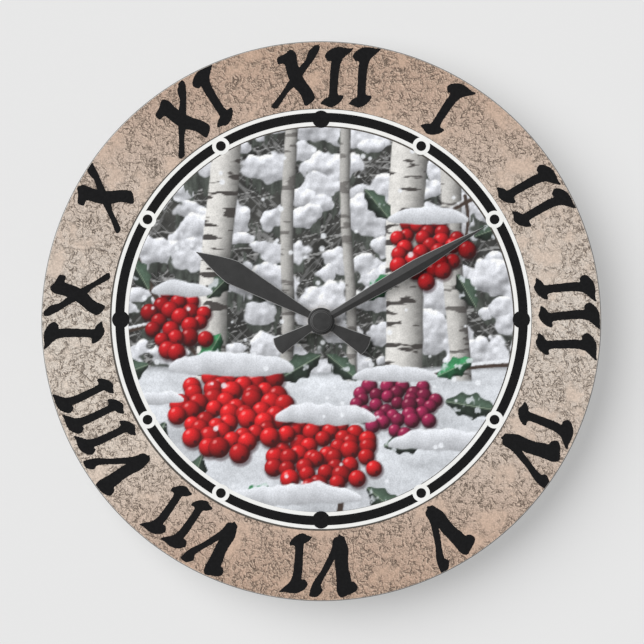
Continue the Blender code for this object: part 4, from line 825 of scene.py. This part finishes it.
def sleeve_print():
    """A plain battery sleeve, dark with a paler band at the button end, and bare steel at both ends."""
    make = Finish("sleeve_print")
    across = make.axis("X")
    dark = make.mix(make.drift(6), srgb(36, 44, 58), srgb(44, 53, 68))
    pale = make.span(across, (CELL_PALE - 0.1) * MM, (CELL_PALE + 0.1) * MM)
    colour = make.mix(pale, dark, srgb(176, 178, 180))
    bare = make.maths(
        "MAXIMUM",
        make.span(across, (CELL_FRONT - 0.1) * MM, CELL_FRONT * MM),
        make.span(across, CELL_BACK * MM, (CELL_BACK + 0.1) * MM, 1.0, 0.0),
    )
    colour = make.mix(bare, colour, (0.55, 0.55, 0.53, 1.0))
    wrinkle = make.noise(2.2, 2.0, at=make.mapped(stretch=(0.3, 1.0, 1.0)))
    rough = make.span(wrinkle, 0.3, 0.7, 0.2, 0.34)
    return make.shade(colour, rough, make.relief(wrinkle, 0.02), metallic=bare)


finishes = {
    "parchment": parchment(),
    "black_ink": black_ink(),
    "white_ink": white_ink(),
    "shade_ink": shade_ink(),
    "picture": painted_ink("picture_ink"),
}
slot_finishes = {
    "printed_acrylic": acrylic(),
    "hand_metal": hand_paint(),
    "case_plastic": case_plastic(),
    "bush_brass": turned_brass(),
    "copper_wire": copper_wire(),
    "board_laminate": circuit_laminate(),
    "cell_wrap": sleeve_print(),
}
for slot, looks in MOULDED.items():
    slot_finishes[slot] = moulded(slot, *looks)
for slot, looks in METALS.items():
    slot_finishes[slot] = metal(slot, *looks)


def dress_cad_nodes():
    """Every CAD node takes the finish of its slot in the record."""
    for node, slot in node_slots.items():
        mesh = nodes[node].data
        mesh.materials.clear()
        mesh.materials.append(slot_finishes[slot])


def stand_in(name, node, corners, faces, sharp=SHARP):
    """A piece in a CAD node's stead, with that node's body and the finish of its slot."""
    slot = node_slots[node]
    made = piece(name, corners, faces, slot_finishes[slot], node_bodies[node], sharp)
    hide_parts(node)


def depths(node):
    """How far a CAD node's back and front stand out from the wall."""
    low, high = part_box(node)
    return -high.y / MM, -low.y / MM


# The disc and its print


def make_disc():
    """A flat disc with rounded, polished edges and a plain hole."""
    corners = ring_profile(BORE_RADIUS, DISC_RADIUS, DISC_BACK, FACE)
    profile = rounded(corners, (0.15, EDGE_ROUND, EDGE_ROUND, 0.15), 6)
    stand_in("dial_disc", "dial_plate", *turned(profile, DISC_STEPS))


def printed(name, corners, faces, finish, closed=True):
    """A layer of print on the disc."""
    return piece(name, corners, faces, finishes[finish], closed=closed)


def flat_ring(name, radii, near, far, finish, centre=RING_CENTRE):
    """A printed ring: a rectangle between two radii carried round the centre."""
    printed(name, *turned(ring_profile(*radii, near, far), RING_STEPS, centre), finish)


def make_band():
    """The parchment print, from under the rings to just inside the rounded edge."""
    way = circle(DISC_STEPS)
    inside = (WHITE_RING[1] - BAND_OVERLAP) * way + RING_CENTRE
    outside = (PRINT_RADIUS + BAND_MARGIN) * way
    rows = [(inside, FACE), (outside, FACE), (outside, BAND_TOP), (inside, BAND_TOP)]
    corners = np.concatenate([places(edge[:, 0], depth, edge[:, 1]) for edge, depth in rows])
    printed("print_band", corners, grid_faces(4, len(way), around=True, along=True), "parchment")


def make_rings():
    """The white and the black ring, over a shade that shows beside them at lower left and upper right."""
    flat_ring("ring_shade", SHADE_RING, BAND_TOP, BAND_TOP + INK / 2, "shade_ink", SHADE_CENTRE)
    flat_ring("white_ring", WHITE_RING, BAND_TOP, WHITE_TOP, "white_ink")
    flat_ring("black_ring", BLACK_RING, WHITE_TOP, BLACK_TOP, "black_ink")


def make_dots():
    """A dot for each hour: plain black at the quarters, and black with a wide white rim elsewhere."""
    centres = circle(12) * DOT_ORBIT + DOT_CENTRE
    quarters = centres[::3]
    others = [centre for hour, centre in enumerate(centres) if hour % 3]
    sets = [
        ("quarter_dots", quarters, DOT_RADIUS, BLACK_TOP, DOT_TOP, "black_ink"),
        ("dot_rims", others, DOT_RADIUS, BLACK_TOP, DOT_TOP, "white_ink"),
        ("dot_cores", others, DOT_CORE_RADIUS, DOT_TOP, CORE_TOP, "black_ink"),
    ]
    for name, middles, radius, near, far, finish in sets:
        dots = [slab(middle + radius * circle(DOT_STEPS), near, far) for middle in middles]
        printed(name, *joined(dots), finish)


def brushed(outline):
    """Softens an outline's tips as wet ink does: its points move towards their neighbours' mean."""
    for _ in range(5):
        outline = 0.5 * outline + 0.25 * (np.roll(outline, 1, 0) + np.roll(outline, -1, 0))
    return outline


def make_numeral(hour, letters, scale, spots):
    """The brushed letters of one hour, each a little turned, with their tops pointing outwards."""
    strokes = []
    for position, (letter, (along, out, lean)) in enumerate(zip(letters, spots)):
        for stroke, corners in enumerate(LETTERS[letter]):
            outline = brushed(flowing(np.array(corners) * scale))
            outline = bristly(outline, BRISTLE, 97 * hour + 13 * position + stroke)
            outline = turned_to(outline, lean) + (along, NUMERAL_ORBIT + out)
            outline = turned_to(outline, 30 * hour) + NUMERAL_CENTRE
            reach = np.linalg.norm(outline, axis=1, keepdims=True)
            outline = outline * np.minimum(1, PRINT_RADIUS / reach)
            strokes.append(slab(outline, BAND_TOP, WHITE_TOP + INK * stroke))
    printed(f"numeral_{hour}", *joined(strokes), "black_ink")


# The picture


def over(picture, colour, cover):
    """Lays a colour on the picture, as thickly as cover says from 0 to 1."""
    return picture + (np.asarray(colour, float) - picture) * cover[..., None]


def shaded(tone, light):
    """A colour for every point: one tone times its light, held to what a screen can show."""
    return np.clip(np.asarray(tone, float) * light[..., None], 0, 252)


def how_far(away):
    """The length of each way from a middle."""
    return np.hypot(away[..., 0], away[..., 1])


def dab(paint, picture, at, middle, reach, *details):
    """Paints one thing on the points within its reach, across and up, of its middle."""
    near = np.abs(at - middle).max(-1) < reach
    picture[near] = paint(picture[near], at[near], middle, *details)


def painted_thicket(at):
    """A far thicket: dark, with pale twigs where slanting clouds pass through their middle value."""
    picture = shaded((60, 60, 58), 0.45 + 0.9 * clouds(at, 8, 31))
    for degrees, seed, tone in ((50, 33, 112), (-44, 35, 138), (12, 37, 176)):
        slanted = turned_to(at, degrees) * (0.3, 1.8)
        away = np.abs(clouds(slanted, 6, seed) - 0.5)
        picture = over(picture, (tone, tone, tone), 0.75 * ease(0.045 - away, 0, 0.03))
    return picture


def painted_bough(picture, at, middle, half, height, seed):
    """Snow on a bough: a lumpy heap, white above and blue-grey below, over hanging needles.

    Light comes from the upper left: a point is lit by how much the lumps fall away that way.
    """
    away = (at - middle) / (half, height)
    streaks = clouds(at * (1.0, 0.24), 1.5, 200 + seed, 2)
    reach = 1.0 + 1.3 * (streaks - 0.5) - how_far(away + (0, 0.7))
    picture = over(picture, shaded((60, 64, 60), 0.55 + streaks), 0.92 * ease(reach, 0, 0.2))
    lumps = clouds(at, 9.5, 100 + seed)
    beyond = clouds(at + (-0.9, 1.7), 9.5, 100 + seed)
    cover = ease(1.05 + 1.7 * (lumps - 0.5) - how_far(away), 0, 0.13)
    light = 0.9 + 0.15 * away[..., 1] + 1.3 * (lumps - beyond)
    return over(picture, shaded((224, 226, 232), light), cover)


def painted_boughs(picture, at):
    """Rows of laden boughs from the sky down to the ground, the nearer rows larger and lower."""
    rng = np.random.default_rng(11)
    for row, height in enumerate(np.linspace(92, HORIZON, 11)):
        for column in np.arange(-96, 97, 23.0):
            middle = (column + 11.5 * (row % 2), height) + rng.uniform(-8, 8, 2)
            half = rng.uniform(5, 15)
            thick = half * rng.uniform(0.45, 0.9)
            seed = int(rng.integers(50))
            dab(painted_bough, picture, at, middle, 2.2 * half, half, thick, seed)
    return picture


def painted_drift(picture, at):
    """The snowy ground: bright, with long low blue-grey dips and a fine sparkle."""
    across, up = at.T
    edge = HORIZON + 9 * (clouds(pairs(across, 0), 38, 12) - 0.5)
    dips = clouds(at * (1, 2.6), 26, 44, 4)
    light = 0.86 + 0.34 * (dips - 0.4) + 0.1 * (clouds(at, 1.3, 7, 2) - 0.5)
    light = light - 0.22 * ease(up, edge - 3.5, edge)
    return over(picture, shaded((232, 236, 242), light), ease(edge - up, -0.8, 0.8))


def painted_birch(picture, at, foot, lean, half, near):
    """A birch trunk: pale bark, rounder and darker to the right, with dark flakes across it."""
    across, up = at.T
    across = across - foot - lean * up - 0.8 * np.sin(up / 17 + foot)
    edge = half + 0.5 * (clouds(at, 5, 61, 2) - 0.5)
    cover = ease(edge - np.abs(across), -0.35, 0.35) * ease(up, HORIZON - 7, HORIZON - 5)
    side = across / half
    light = 0.96 - 0.3 * side - 0.2 * side * side + 0.12 * (clouds(at, 2.2, 63, 2) - 0.5)
    bark = shaded((214, 212, 208), light * (0.62 + 0.38 * near))
    flakes = clouds(at * (0.42, 1.7), 4.5, int(50 + foot))
    bark = over(bark, (58, 54, 52), 0.9 * near * ease(flakes, 0.6, 0.66))
    return over(picture, bark, cover)


def painted_twig(picture, at, start, middle, end, width):
    """A bent twig that thins to its end, dark below and with snow lying along its upper side."""
    share = np.linspace(0, 1, 15)[:, None]
    line = (1 - share) ** 2 * start + 2 * share * (1 - share) * middle + share**2 * end
    for number, (one, other) in enumerate(zip(line, line[1:])):
        way = other - one
        along = np.clip(((at - one) @ way) / (way @ way), 0, 1)
        away = at - one - along[..., None] * way
        half = width * (1 - 0.6 * (number + along) / 14)
        picture = over(picture, (66, 54, 48), ease(half - how_far(away), -0.35, 0.35))
        raised = how_far(away - pairs(0, 1.15 * half))
        level = abs(way[0]) / math.hypot(*way)
        picture = over(picture, (232, 235, 240), level**2 * ease(0.75 * half - raised, -0.3, 0.3))
    return picture


def painted_leaf(picture, at, foot, degrees, length, bright):
    """A holly leaf: a lens with spined edges, one half lighter, and a pale middle vein."""
    a = math.radians(degrees)
    way = np.array([math.cos(a), math.sin(a)])
    along = ((at - foot) @ way) / length
    across = (at - foot) @ np.array([-way[1], way[0]]) / length
    inside = np.clip(along, 0, 1)
    spines = 0.75 + 0.25 * np.abs(np.cos(3.5 * math.pi * inside)) ** 3
    half = 0.27 * np.sin(math.pi * inside) ** 0.8 * spines + 1e-6
    cover = ease((half - np.abs(across)) * length, -0.3, 0.4) * ease(along, 0.0, 0.04)
    tone = LEAF_TONES[bright]
    light = 0.95 + 0.3 * np.sign(across * way[0]) * ease(np.abs(across), 0, 0.04)
    light = light + 0.5 * (clouds(at, 3, 71) - 0.5) - 0.35 * (np.abs(across) / half) ** 2
    leaf = shaded(tone, light)
    vein = ease(0.012 - np.abs(across), -0.008, 0.008)
    leaf = over(leaf, (150, 166, 144), 0.7 * vein)
    frost = ease(clouds(at, 4, 73), 0.6, 0.72)
    return over(picture, over(leaf, (226, 230, 236), 0.8 * frost), cover)


def painted_berry(picture, at, middle, radius, tone):
    """A berry: a ball lit from the upper left, with a soft highlight and a small dark blossom end."""
    away = (at - middle) / radius
    distance = how_far(away)
    depth = np.sqrt(np.clip(1 - distance**2, 0, 1))
    lit = -0.42 * away[..., 0] + 0.55 * away[..., 1] + 0.72 * depth
    ball = shaded(tone, 0.3 + 0.82 * np.clip(lit, 0, 1))
    ball = over(ball, (250, 206, 200), 0.55 * ease(lit, 0.955, 1.0))
    end = how_far(away - (0.32, -0.42))
    ball = over(ball, (52, 16, 20), 0.8 * ease(0.17 - end, -0.06, 0.06))
    shade = ease(1.28 - how_far(away - (0.12, -0.2)), 0, 0.35)
    picture = over(picture, (34, 14, 18), 0.45 * shade)
    return over(picture, ball, ease((1 - distance) * radius, -0.3, 0.3))


def painted_bunch(picture, at, middle, reach, count, radius, tone, seed):
    """Berries laid out as sunflower seeds are, loosened a little, the lower ones on top."""
    rng = np.random.default_rng(seed)
    number = np.arange(count) + 0.5
    angle = number * GOLDEN_ANGLE
    spread = np.sqrt(number / count)[:, None] * pairs(np.cos(angle), np.sin(angle))
    spots = spread * reach + middle + rng.normal(0, 0.22 * radius, (count, 2))
    for spot in spots[np.argsort(-spots[:, 1])]:
        size = radius * rng.uniform(0.86, 1.1)
        hue = np.array(tone) * rng.uniform(0.78, 1.08)
        dab(painted_berry, picture, at, spot, 1.6 * size, size, hue)
    return picture


def painted_cap(picture, at, foot, half, height, seed):
    """A lump of lying snow: a lumpy arch over a wavy foot, bright above and blue-grey below."""
    across, up = at.T
    lumps = clouds(pairs(across, seed), 9, 80 + seed)
    across = (across - foot[0]) / half
    arch = np.sqrt(np.clip(1 - across**2, 0, 1))
    top = foot[1] + height * arch * (0.62 + 0.75 * lumps)
    sag = foot[1] - 0.42 * height * arch * (1.3 - lumps)
    cover = ease(top - up, -0.3, 0.5) * ease(up - sag, -0.3, 0.5)
    cover = cover * ease(1 - np.abs(across), 0, 0.03)
    share = (up - sag) / np.maximum(top - sag, 0.1)
    light = 0.72 + 0.3 * share + 0.12 * (clouds(at, 5, 90 + seed) - 0.5)
    return over(picture, shaded((238, 241, 247), light), cover)


def painted_picture(at):
    """The whole study, back to front, as linear colours for every point."""
    picture = painted_thicket(at)
    picture = painted_boughs(picture, at)
    picture = painted_drift(picture, at)
    for birch in BIRCHES:
        picture = painted_birch(picture, at, *birch)
    for start, middle, end, width in TWIGS:
        picture = painted_twig(picture, at, *map(np.array, (start, middle, end)), width)
    for foot, degrees, length, bright in LEAVES:
        dab(painted_leaf, picture, at, foot, 1.1 * length, degrees, length, bright)
    for seed, bunch in enumerate(BUNCHES):
        picture = painted_bunch(picture, at, *bunch, seed)
    for cap in SNOW_CAPS:
        picture = painted_cap(picture, at, *cap)
    rng = np.random.default_rng(5)
    for spot, size in zip(rng.uniform(-90, 90, (FLAKES, 2)), rng.uniform(0.5, 1.3, FLAKES)):
        picture = over(picture, (240, 243, 248), 0.85 * ease(size - how_far(at - spot), -0.5, 0.3))
    return linear(np.clip(picture, 0, 255))


def make_picture():
    """The printed picture: a flat grid of small cells inside the rings, its colours on the corners."""
    half = math.ceil(PICTURE_SHEET / PICTURE_CELL)
    line = np.arange(-half, half + 1) * PICTURE_CELL
    across, up = np.meshgrid(line, line, indexing="ij")
    kept = np.hypot(across, up) <= PICTURE_SHEET
    number = np.cumsum(kept).reshape(kept.shape) - 1
    whole = kept[:-1, :-1] & kept[1:, :-1] & kept[1:, 1:] & kept[:-1, 1:]
    corners = (number[:-1, :-1], number[1:, :-1], number[1:, 1:], number[:-1, 1:])
    faces = np.stack([corner[whole] for corner in corners], -1)
    at = pairs(across[kept], up[kept])
    spots = places(at[:, 0] + RING_CENTRE[0], BAND_TOP, at[:, 1] + RING_CENTRE[1])
    made = printed("centre_picture", spots, faces.tolist(), "picture", closed=False)
    paint = made.data.color_attributes.new("paint", "FLOAT_COLOR", "POINT")
    colours = np.concatenate([painted_picture(at), np.ones((len(at), 1))], -1)
    paint.data.foreach_set("color", colours.ravel())


# Hands


def tail_outline(length, half):
    """Half a tail's outline: from the hub it widens evenly and ends in a shallow arc."""
    radius = (half * half + TAIL_SAG * TAIL_SAG) / (2 * TAIL_SAG)
    sag = TAIL_SAG * np.linspace(1, 0, 9) ** 2
    arc = np.sqrt(radius * radius - (radius - sag) ** 2)
    return np.concatenate([[(HAND_ROOT, TAIL_WAIST)], pairs(length - sag, arc)])


def hour_outline():
    """Half the lance's outline: straight to its shoulder, then a slightly full point."""
    share = np.linspace(0, 1, 24)
    along = HOUR_SHOULDER[0] + share * (HOUR_LENGTH - HOUR_SHOULDER[0])
    half = HOUR_SHOULDER[1] * (1 - share**1.28)
    root = [(HAND_ROOT, HOUR_WAIST[1]), HOUR_WAIST]
    return np.concatenate([root, pairs(along, half)])


def minute_outline():
    """Half the leaf's outline: a sine's rise to its belly, then a power curve to a fine point."""
    rise = np.linspace(0, 1, 16)
    along = MINUTE_WAIST[0] + rise * (MINUTE_BELLY[0] - MINUTE_WAIST[0])
    half = MINUTE_WAIST[1] + (MINUTE_BELLY[1] - MINUTE_WAIST[1]) * np.sin(rise * math.pi / 2)
    share = np.linspace(0, 1, 24)[1:]
    point_along = MINUTE_BELLY[0] + share * (MINUTE_LENGTH - MINUTE_BELLY[0])
    point_half = MINUTE_BELLY[1] * (1 - share**1.17)
    root = [(HAND_ROOT, MINUTE_WAIST[1])]
    return np.concatenate([root, pairs(along, half), pairs(point_along, point_half)])


def outward(outline):
    """The way out from each point of half an outline: square to the mean of the steps beside it.

    The step after the last point is the mirror image of the one before it.
    """
    step = np.diff(outline, axis=0)
    step = step / np.linalg.norm(step, axis=1, keepdims=True)
    before = np.concatenate([step[:1], step])
    after = np.concatenate([step, step[-1:] * (-1, 1)])
    mean = before + after
    return mean[:, ::-1] * (-1, 1) / np.linalg.norm(mean, axis=1, keepdims=True)


def blade(outline, near, slope, degrees, flip=False):
    """Folded sheet carried along a hand: its section rises to a crease and its edges slant all round."""
    way = outward(outline)
    along = outline[:, :1]
    half = np.maximum(outline[:, 1:], 0.05)
    slant = np.minimum(EDGE_SLANT, 0.4 * half / np.maximum(way[:, 1:], 0.001))
    inner_along = along - slant * way[:, :1]
    inner_half = half - slant * way[:, 1:]
    middle = 0 * half
    far = near + HAND_SHEET
    crease = slope * half
    brim = far + slope * (half - inner_half)
    section = [
        (-half, along, near + middle),
        (-half, along, far - slant),
        (-inner_half, inner_along, brim),
        (middle, inner_along, far + crease),
        (inner_half, inner_along, brim),
        (half, along, far - slant),
        (half, along, near + middle),
        (middle, along, near + crease),
    ]
    across, up, depth = (np.concatenate(column, 1) for column in zip(*section))
    flat = turned_to(pairs(across, -up if flip else up), degrees)
    corners = places(flat[..., 0], depth, flat[..., 1]).reshape(-1, 3)
    faces = grid_faces(len(outline), 8, around=True).tolist()
    last = 8 * (len(outline) - 1)
    faces.append(list(range(8)))
    faces.append([last + k for k in range(7, -1, -1)])
    return corners, faces


def make_hand(node, outline, tail, slope, hub, bore, collet, degrees):
    """A creased blade and tail on an eased hub, with its collet behind."""
    collet_near, _ = depths(node)
    near = collet_near + COLLET_LENGTH
    far = near + HAND_SHEET
    hub_ring = rounded(ring_profile(bore, hub, near - HUB_PROUD, far + HUB_PROUD), HUB_EASING)
    collet_ring = rounded(ring_profile(bore, collet, collet_near, near + 0.1), COLLET_EASING, 3)
    shells = [
        blade(outline, near, slope, degrees),
        blade(tail, near, TAIL_SLOPE, degrees, flip=True),
        turned(hub_ring, HUB_STEPS),
        turned(collet_ring, STEM_STEPS),
    ]
    stand_in(f"{node}_blade", node, *joined(shells), sharp=HAND_SHARP)


def make_cap():
    """The closed cap: a low drum, a stepped shoulder and a slightly domed top."""
    near, far = depths("hand_cap")
    steps = [(radius, far - below) for radius, below in CAP_STEPS]
    profile = [(0, near), (CAP_RADIUS, near), *steps]
    stand_in("cap_drum", "hand_cap", *turned(profile, HUB_STEPS), sharp=HAND_SHARP)


# The battery


def make_cell():
    """A plain AA cell: its profile of (radius, across) is turned as if upright, and then laid across."""
    low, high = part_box("battery")
    start, stop = low.x / MM, high.x / MM
    middle = (-(low.y + high.y) / 2 / MM, (low.z + high.z) / 2 / MM)
    radius = (high.z - low.z) / 2 / MM
    flat, brim = MINUS_END
    foot, top = SHOULDER
    corners = [
        (0.0, start),
        (flat, start),
        (brim, CELL_BACK),
        (radius, CELL_BACK),
        (radius, CELL_FRONT),
        (foot, CELL_FRONT),
        (top, CELL_FRONT + SHOULDER_HEIGHT),
        (BUTTON_RADIUS, CELL_FRONT + SHOULDER_HEIGHT),
        (BUTTON_RADIUS, stop),
        (0.0, stop),
    ]
    profile = rounded(corners, (0, 0.2, 0.1, 0.45, 0.45, 0.1, 0.2, 0.15, 0.35, 0))
    upright, faces = turned(profile, CELL_STEPS, middle)
    stand_in("cell_body", "battery", upright[:, [1, 0, 2]], faces)


# The clamp and the setting knob


def make_bush():
    """The bush: a flange, and a thread whose radius falls and rises once in each pitch along its helix."""
    near, far = depths("threaded_bush")
    flange = near + BUSH_FLANGE
    corners = [
        (BUSH_BORE, near),
        (FLANGE_RADIUS, near),
        (FLANGE_RADIUS, flange),
        (BUSH_RADIUS, flange),
        (BUSH_RADIUS, far - BUSH_CHAMFER),
        (BUSH_RADIUS - BUSH_CHAMFER, far),
        (BUSH_BORE, far),
    ]
    steps = 3
    outline = rounded(corners, 0.08, steps)
    stem_foot = 4 * (steps + 1)
    rows = np.arange(flange + 0.1, far - BUSH_CHAMFER - 0.1, THREAD_PITCH / 8)
    stem = pairs(BUSH_RADIUS, rows)
    profile = np.concatenate([outline[:stem_foot], stem, outline[stem_foot:]])

    def thread(radius, depth, angle):
        share = (depth / THREAD_PITCH + angle / TURN) % 1
        fall = THREAD_DEPTH * (1 - np.abs(2 * share - 1)) * ease(depth, flange, flange + THREAD_PITCH)
        on_stem = (depth > flange) & (radius > BUSH_BORE + 0.1)
        return np.where(on_stem, np.minimum(radius, BUSH_RADIUS - fall), radius)

    stand_in("bush_thread", "threaded_bush", *turned(profile, STEM_STEPS, cut=thread), sharp=THREAD_SHARP)


def make_nut():
    """The nut: the lesser of a hexagon's radius and that of a profile with both ends coned."""
    near, far = depths("hex_nut")
    cone = np.linspace(NUT_FACE, NUT_FLATS / math.sqrt(3), 9)
    rise = np.linspace(0, NUT_CONE, 9)
    back = pairs(cone, near + rise)
    front = pairs(cone, far - rise)[::-1]
    profile = np.concatenate([[(NUT_BORE, near)], back, front, [(NUT_BORE, far)]])

    def hexagon(radius, depth, angle):
        from_flat = (angle + TURN / 12) % (TURN / 6) - TURN / 12
        return np.minimum(radius, NUT_FLATS / 2 / np.cos(from_flat))

    stand_in("nut_body", "hex_nut", *turned(profile, NUT_STEPS, cut=hexagon))


def make_knob():
    """The setting knob: a disc with eased rims whose radius dips once for each scallop."""
    near, far = depths("setting_knob")
    floor = far - SOCKET_DEPTH
    corners = [
        (0, near),
        (KNOB_RADIUS, near),
        (KNOB_RADIUS, far),
        (KNOB_SOCKET, far),
        (KNOB_SOCKET, floor),
        (0, floor),
    ]
    profile = rounded(corners, (0, 0.5, 0.25, 0.1, 0.1, 0), 5)

    def scallops(radius, depth, angle):
        dip = KNOB_DIP * (1 - np.cos(KNOB_SCALLOPS * angle)) / 2
        return radius - dip * (radius > KNOB_RADIUS / 2)

    stand_in("knob_grip", "setting_knob", *turned(profile, KNOB_STEPS, KNOB_AXIS, scallops))


# Stage


def make_wall():
    """A pale wall that the camera and mirrors see from the front, and that lets light through behind.

    It stops the lamp behind it on the way to whatever lights the wall, as a real wall would.
    """
    corners = np.array([(-1, 0, -1), (1, 0, -1), (1, 0, 1), (-1, 0, 1)]) * WALL_HALF * MM
    mesh = bpy.data.meshes.new("wall")
    mesh.from_pydata((corners + (0, WALL_GAP * MM, 0)).tolist(), [], [(0, 1, 2, 3)])
    placed("wall", mesh)

    make = Finish("wall_paint")
    path = make.add("ShaderNodeLightPath").outputs
    behind = make.add("ShaderNodeNewGeometry").outputs["Backfacing"]
    shown = make.times(make.seen(path), make.maths("SUBTRACT", 1.0, behind))
    bounced = make.times(path["Is Shadow Ray"], path["Diffuse Depth"])
    shown = make.maths("MAXIMUM", shown, make.maths("GREATER_THAN", bounced, 0.5))
    lit = [share * (1 - WALL_GLOW) for share in WALL_GREY] + [1]
    glow = make.add("ShaderNodeEmission", {"Color": (*WALL_GREY, 1), "Strength": WALL_GLOW}).outputs[0]
    paint = make.add("ShaderNodeBsdfDiffuse", {"Color": lit}).outputs[0]
    surface = make.add("ShaderNodeAddShader", {0: glow, 1: paint}).outputs[0]
    clear = make.add("ShaderNodeBsdfTransparent").outputs[0]
    mixed = make.add("ShaderNodeMixShader", {0: shown, 1: clear, 2: surface}).outputs[0]
    mesh.materials.append(make.finish(mixed))


def make_room():
    """Soft light from all round; the camera and mirrors see a pale room."""
    world = bpy.data.worlds.new("room")
    bpy.context.scene.world = world
    make = Wiring(world)
    shown = make.seen(make.add("ShaderNodeLightPath").outputs)
    ends = {"Value": shown, "To Min": ROOM_LIGHT, "To Max": WALL_GREY[0]}
    strength = make.add("ShaderNodeMapRange", ends).outputs["Result"]
    background = make.add("ShaderNodeBackground", {"Color": (1, 1, 1, 1), "Strength": strength})
    make.add("ShaderNodeOutputWorld", {"Surface": background.outputs[0]})


def make_sun(name, towards, strength, spread):
    """A soft lamp whose light travels along this direction."""
    lamp = bpy.data.lights.new(name, "SUN")
    lamp.energy = strength
    lamp.angle = math.radians(spread)
    placed(name, lamp).rotation_euler = Vector(towards).to_track_quat("-Z", "Y").to_euler()


def make_lights():
    """A soft key light from the upper left in front, and a fill for the views from behind."""
    tilt = math.radians(KEY_TILT)
    way = math.radians(KEY_DIRECTION)
    side = math.sin(tilt)
    towards = (side * math.cos(way), math.cos(tilt), side * math.sin(way))
    make_sun("key", towards, KEY_STRENGTH, KEY_SPREAD)
    make_sun("back_fill", BACK_DIRECTION, BACK_STRENGTH, BACK_SPREAD)


def make_camera():
    """A long lens far in front, square to the wall."""
    camera = bpy.data.cameras.new("camera")
    camera.lens = LENS
    camera.sensor_width = SENSOR
    camera.clip_start, camera.clip_end = (distance * MM for distance in CLIP)
    holder = placed("camera", camera)
    holder.location = (CAMERA_AT[0] * MM, -CAMERA_AT[1] * MM, CAMERA_AT[2] * MM)
    holder.rotation_euler = (math.radians(90), 0, 0)
    bpy.context.scene.camera = holder


dress_cad_nodes()
make_disc()
make_band()
make_rings()
make_dots()
make_picture()
for hour, (letters, scale, spots) in NUMERALS.items():
    make_numeral(hour, letters, scale, spots)
tails = [tail_outline(*tail) for tail in (HOUR_TAIL, MINUTE_TAIL)]
make_hand("hour_hand", hour_outline(), tails[0], HOUR_SLOPE, *HOUR_FIT, HOUR_ANGLE)
make_hand("minute_hand", minute_outline(), tails[1], MINUTE_SLOPE, *MINUTE_FIT, MINUTE_ANGLE)
make_cap()
make_cell()
make_bush()
make_nut()
make_knob()
make_wall()
make_room()
make_lights()
make_camera()
bpy.context.scene.view_settings.view_transform = "Standard"
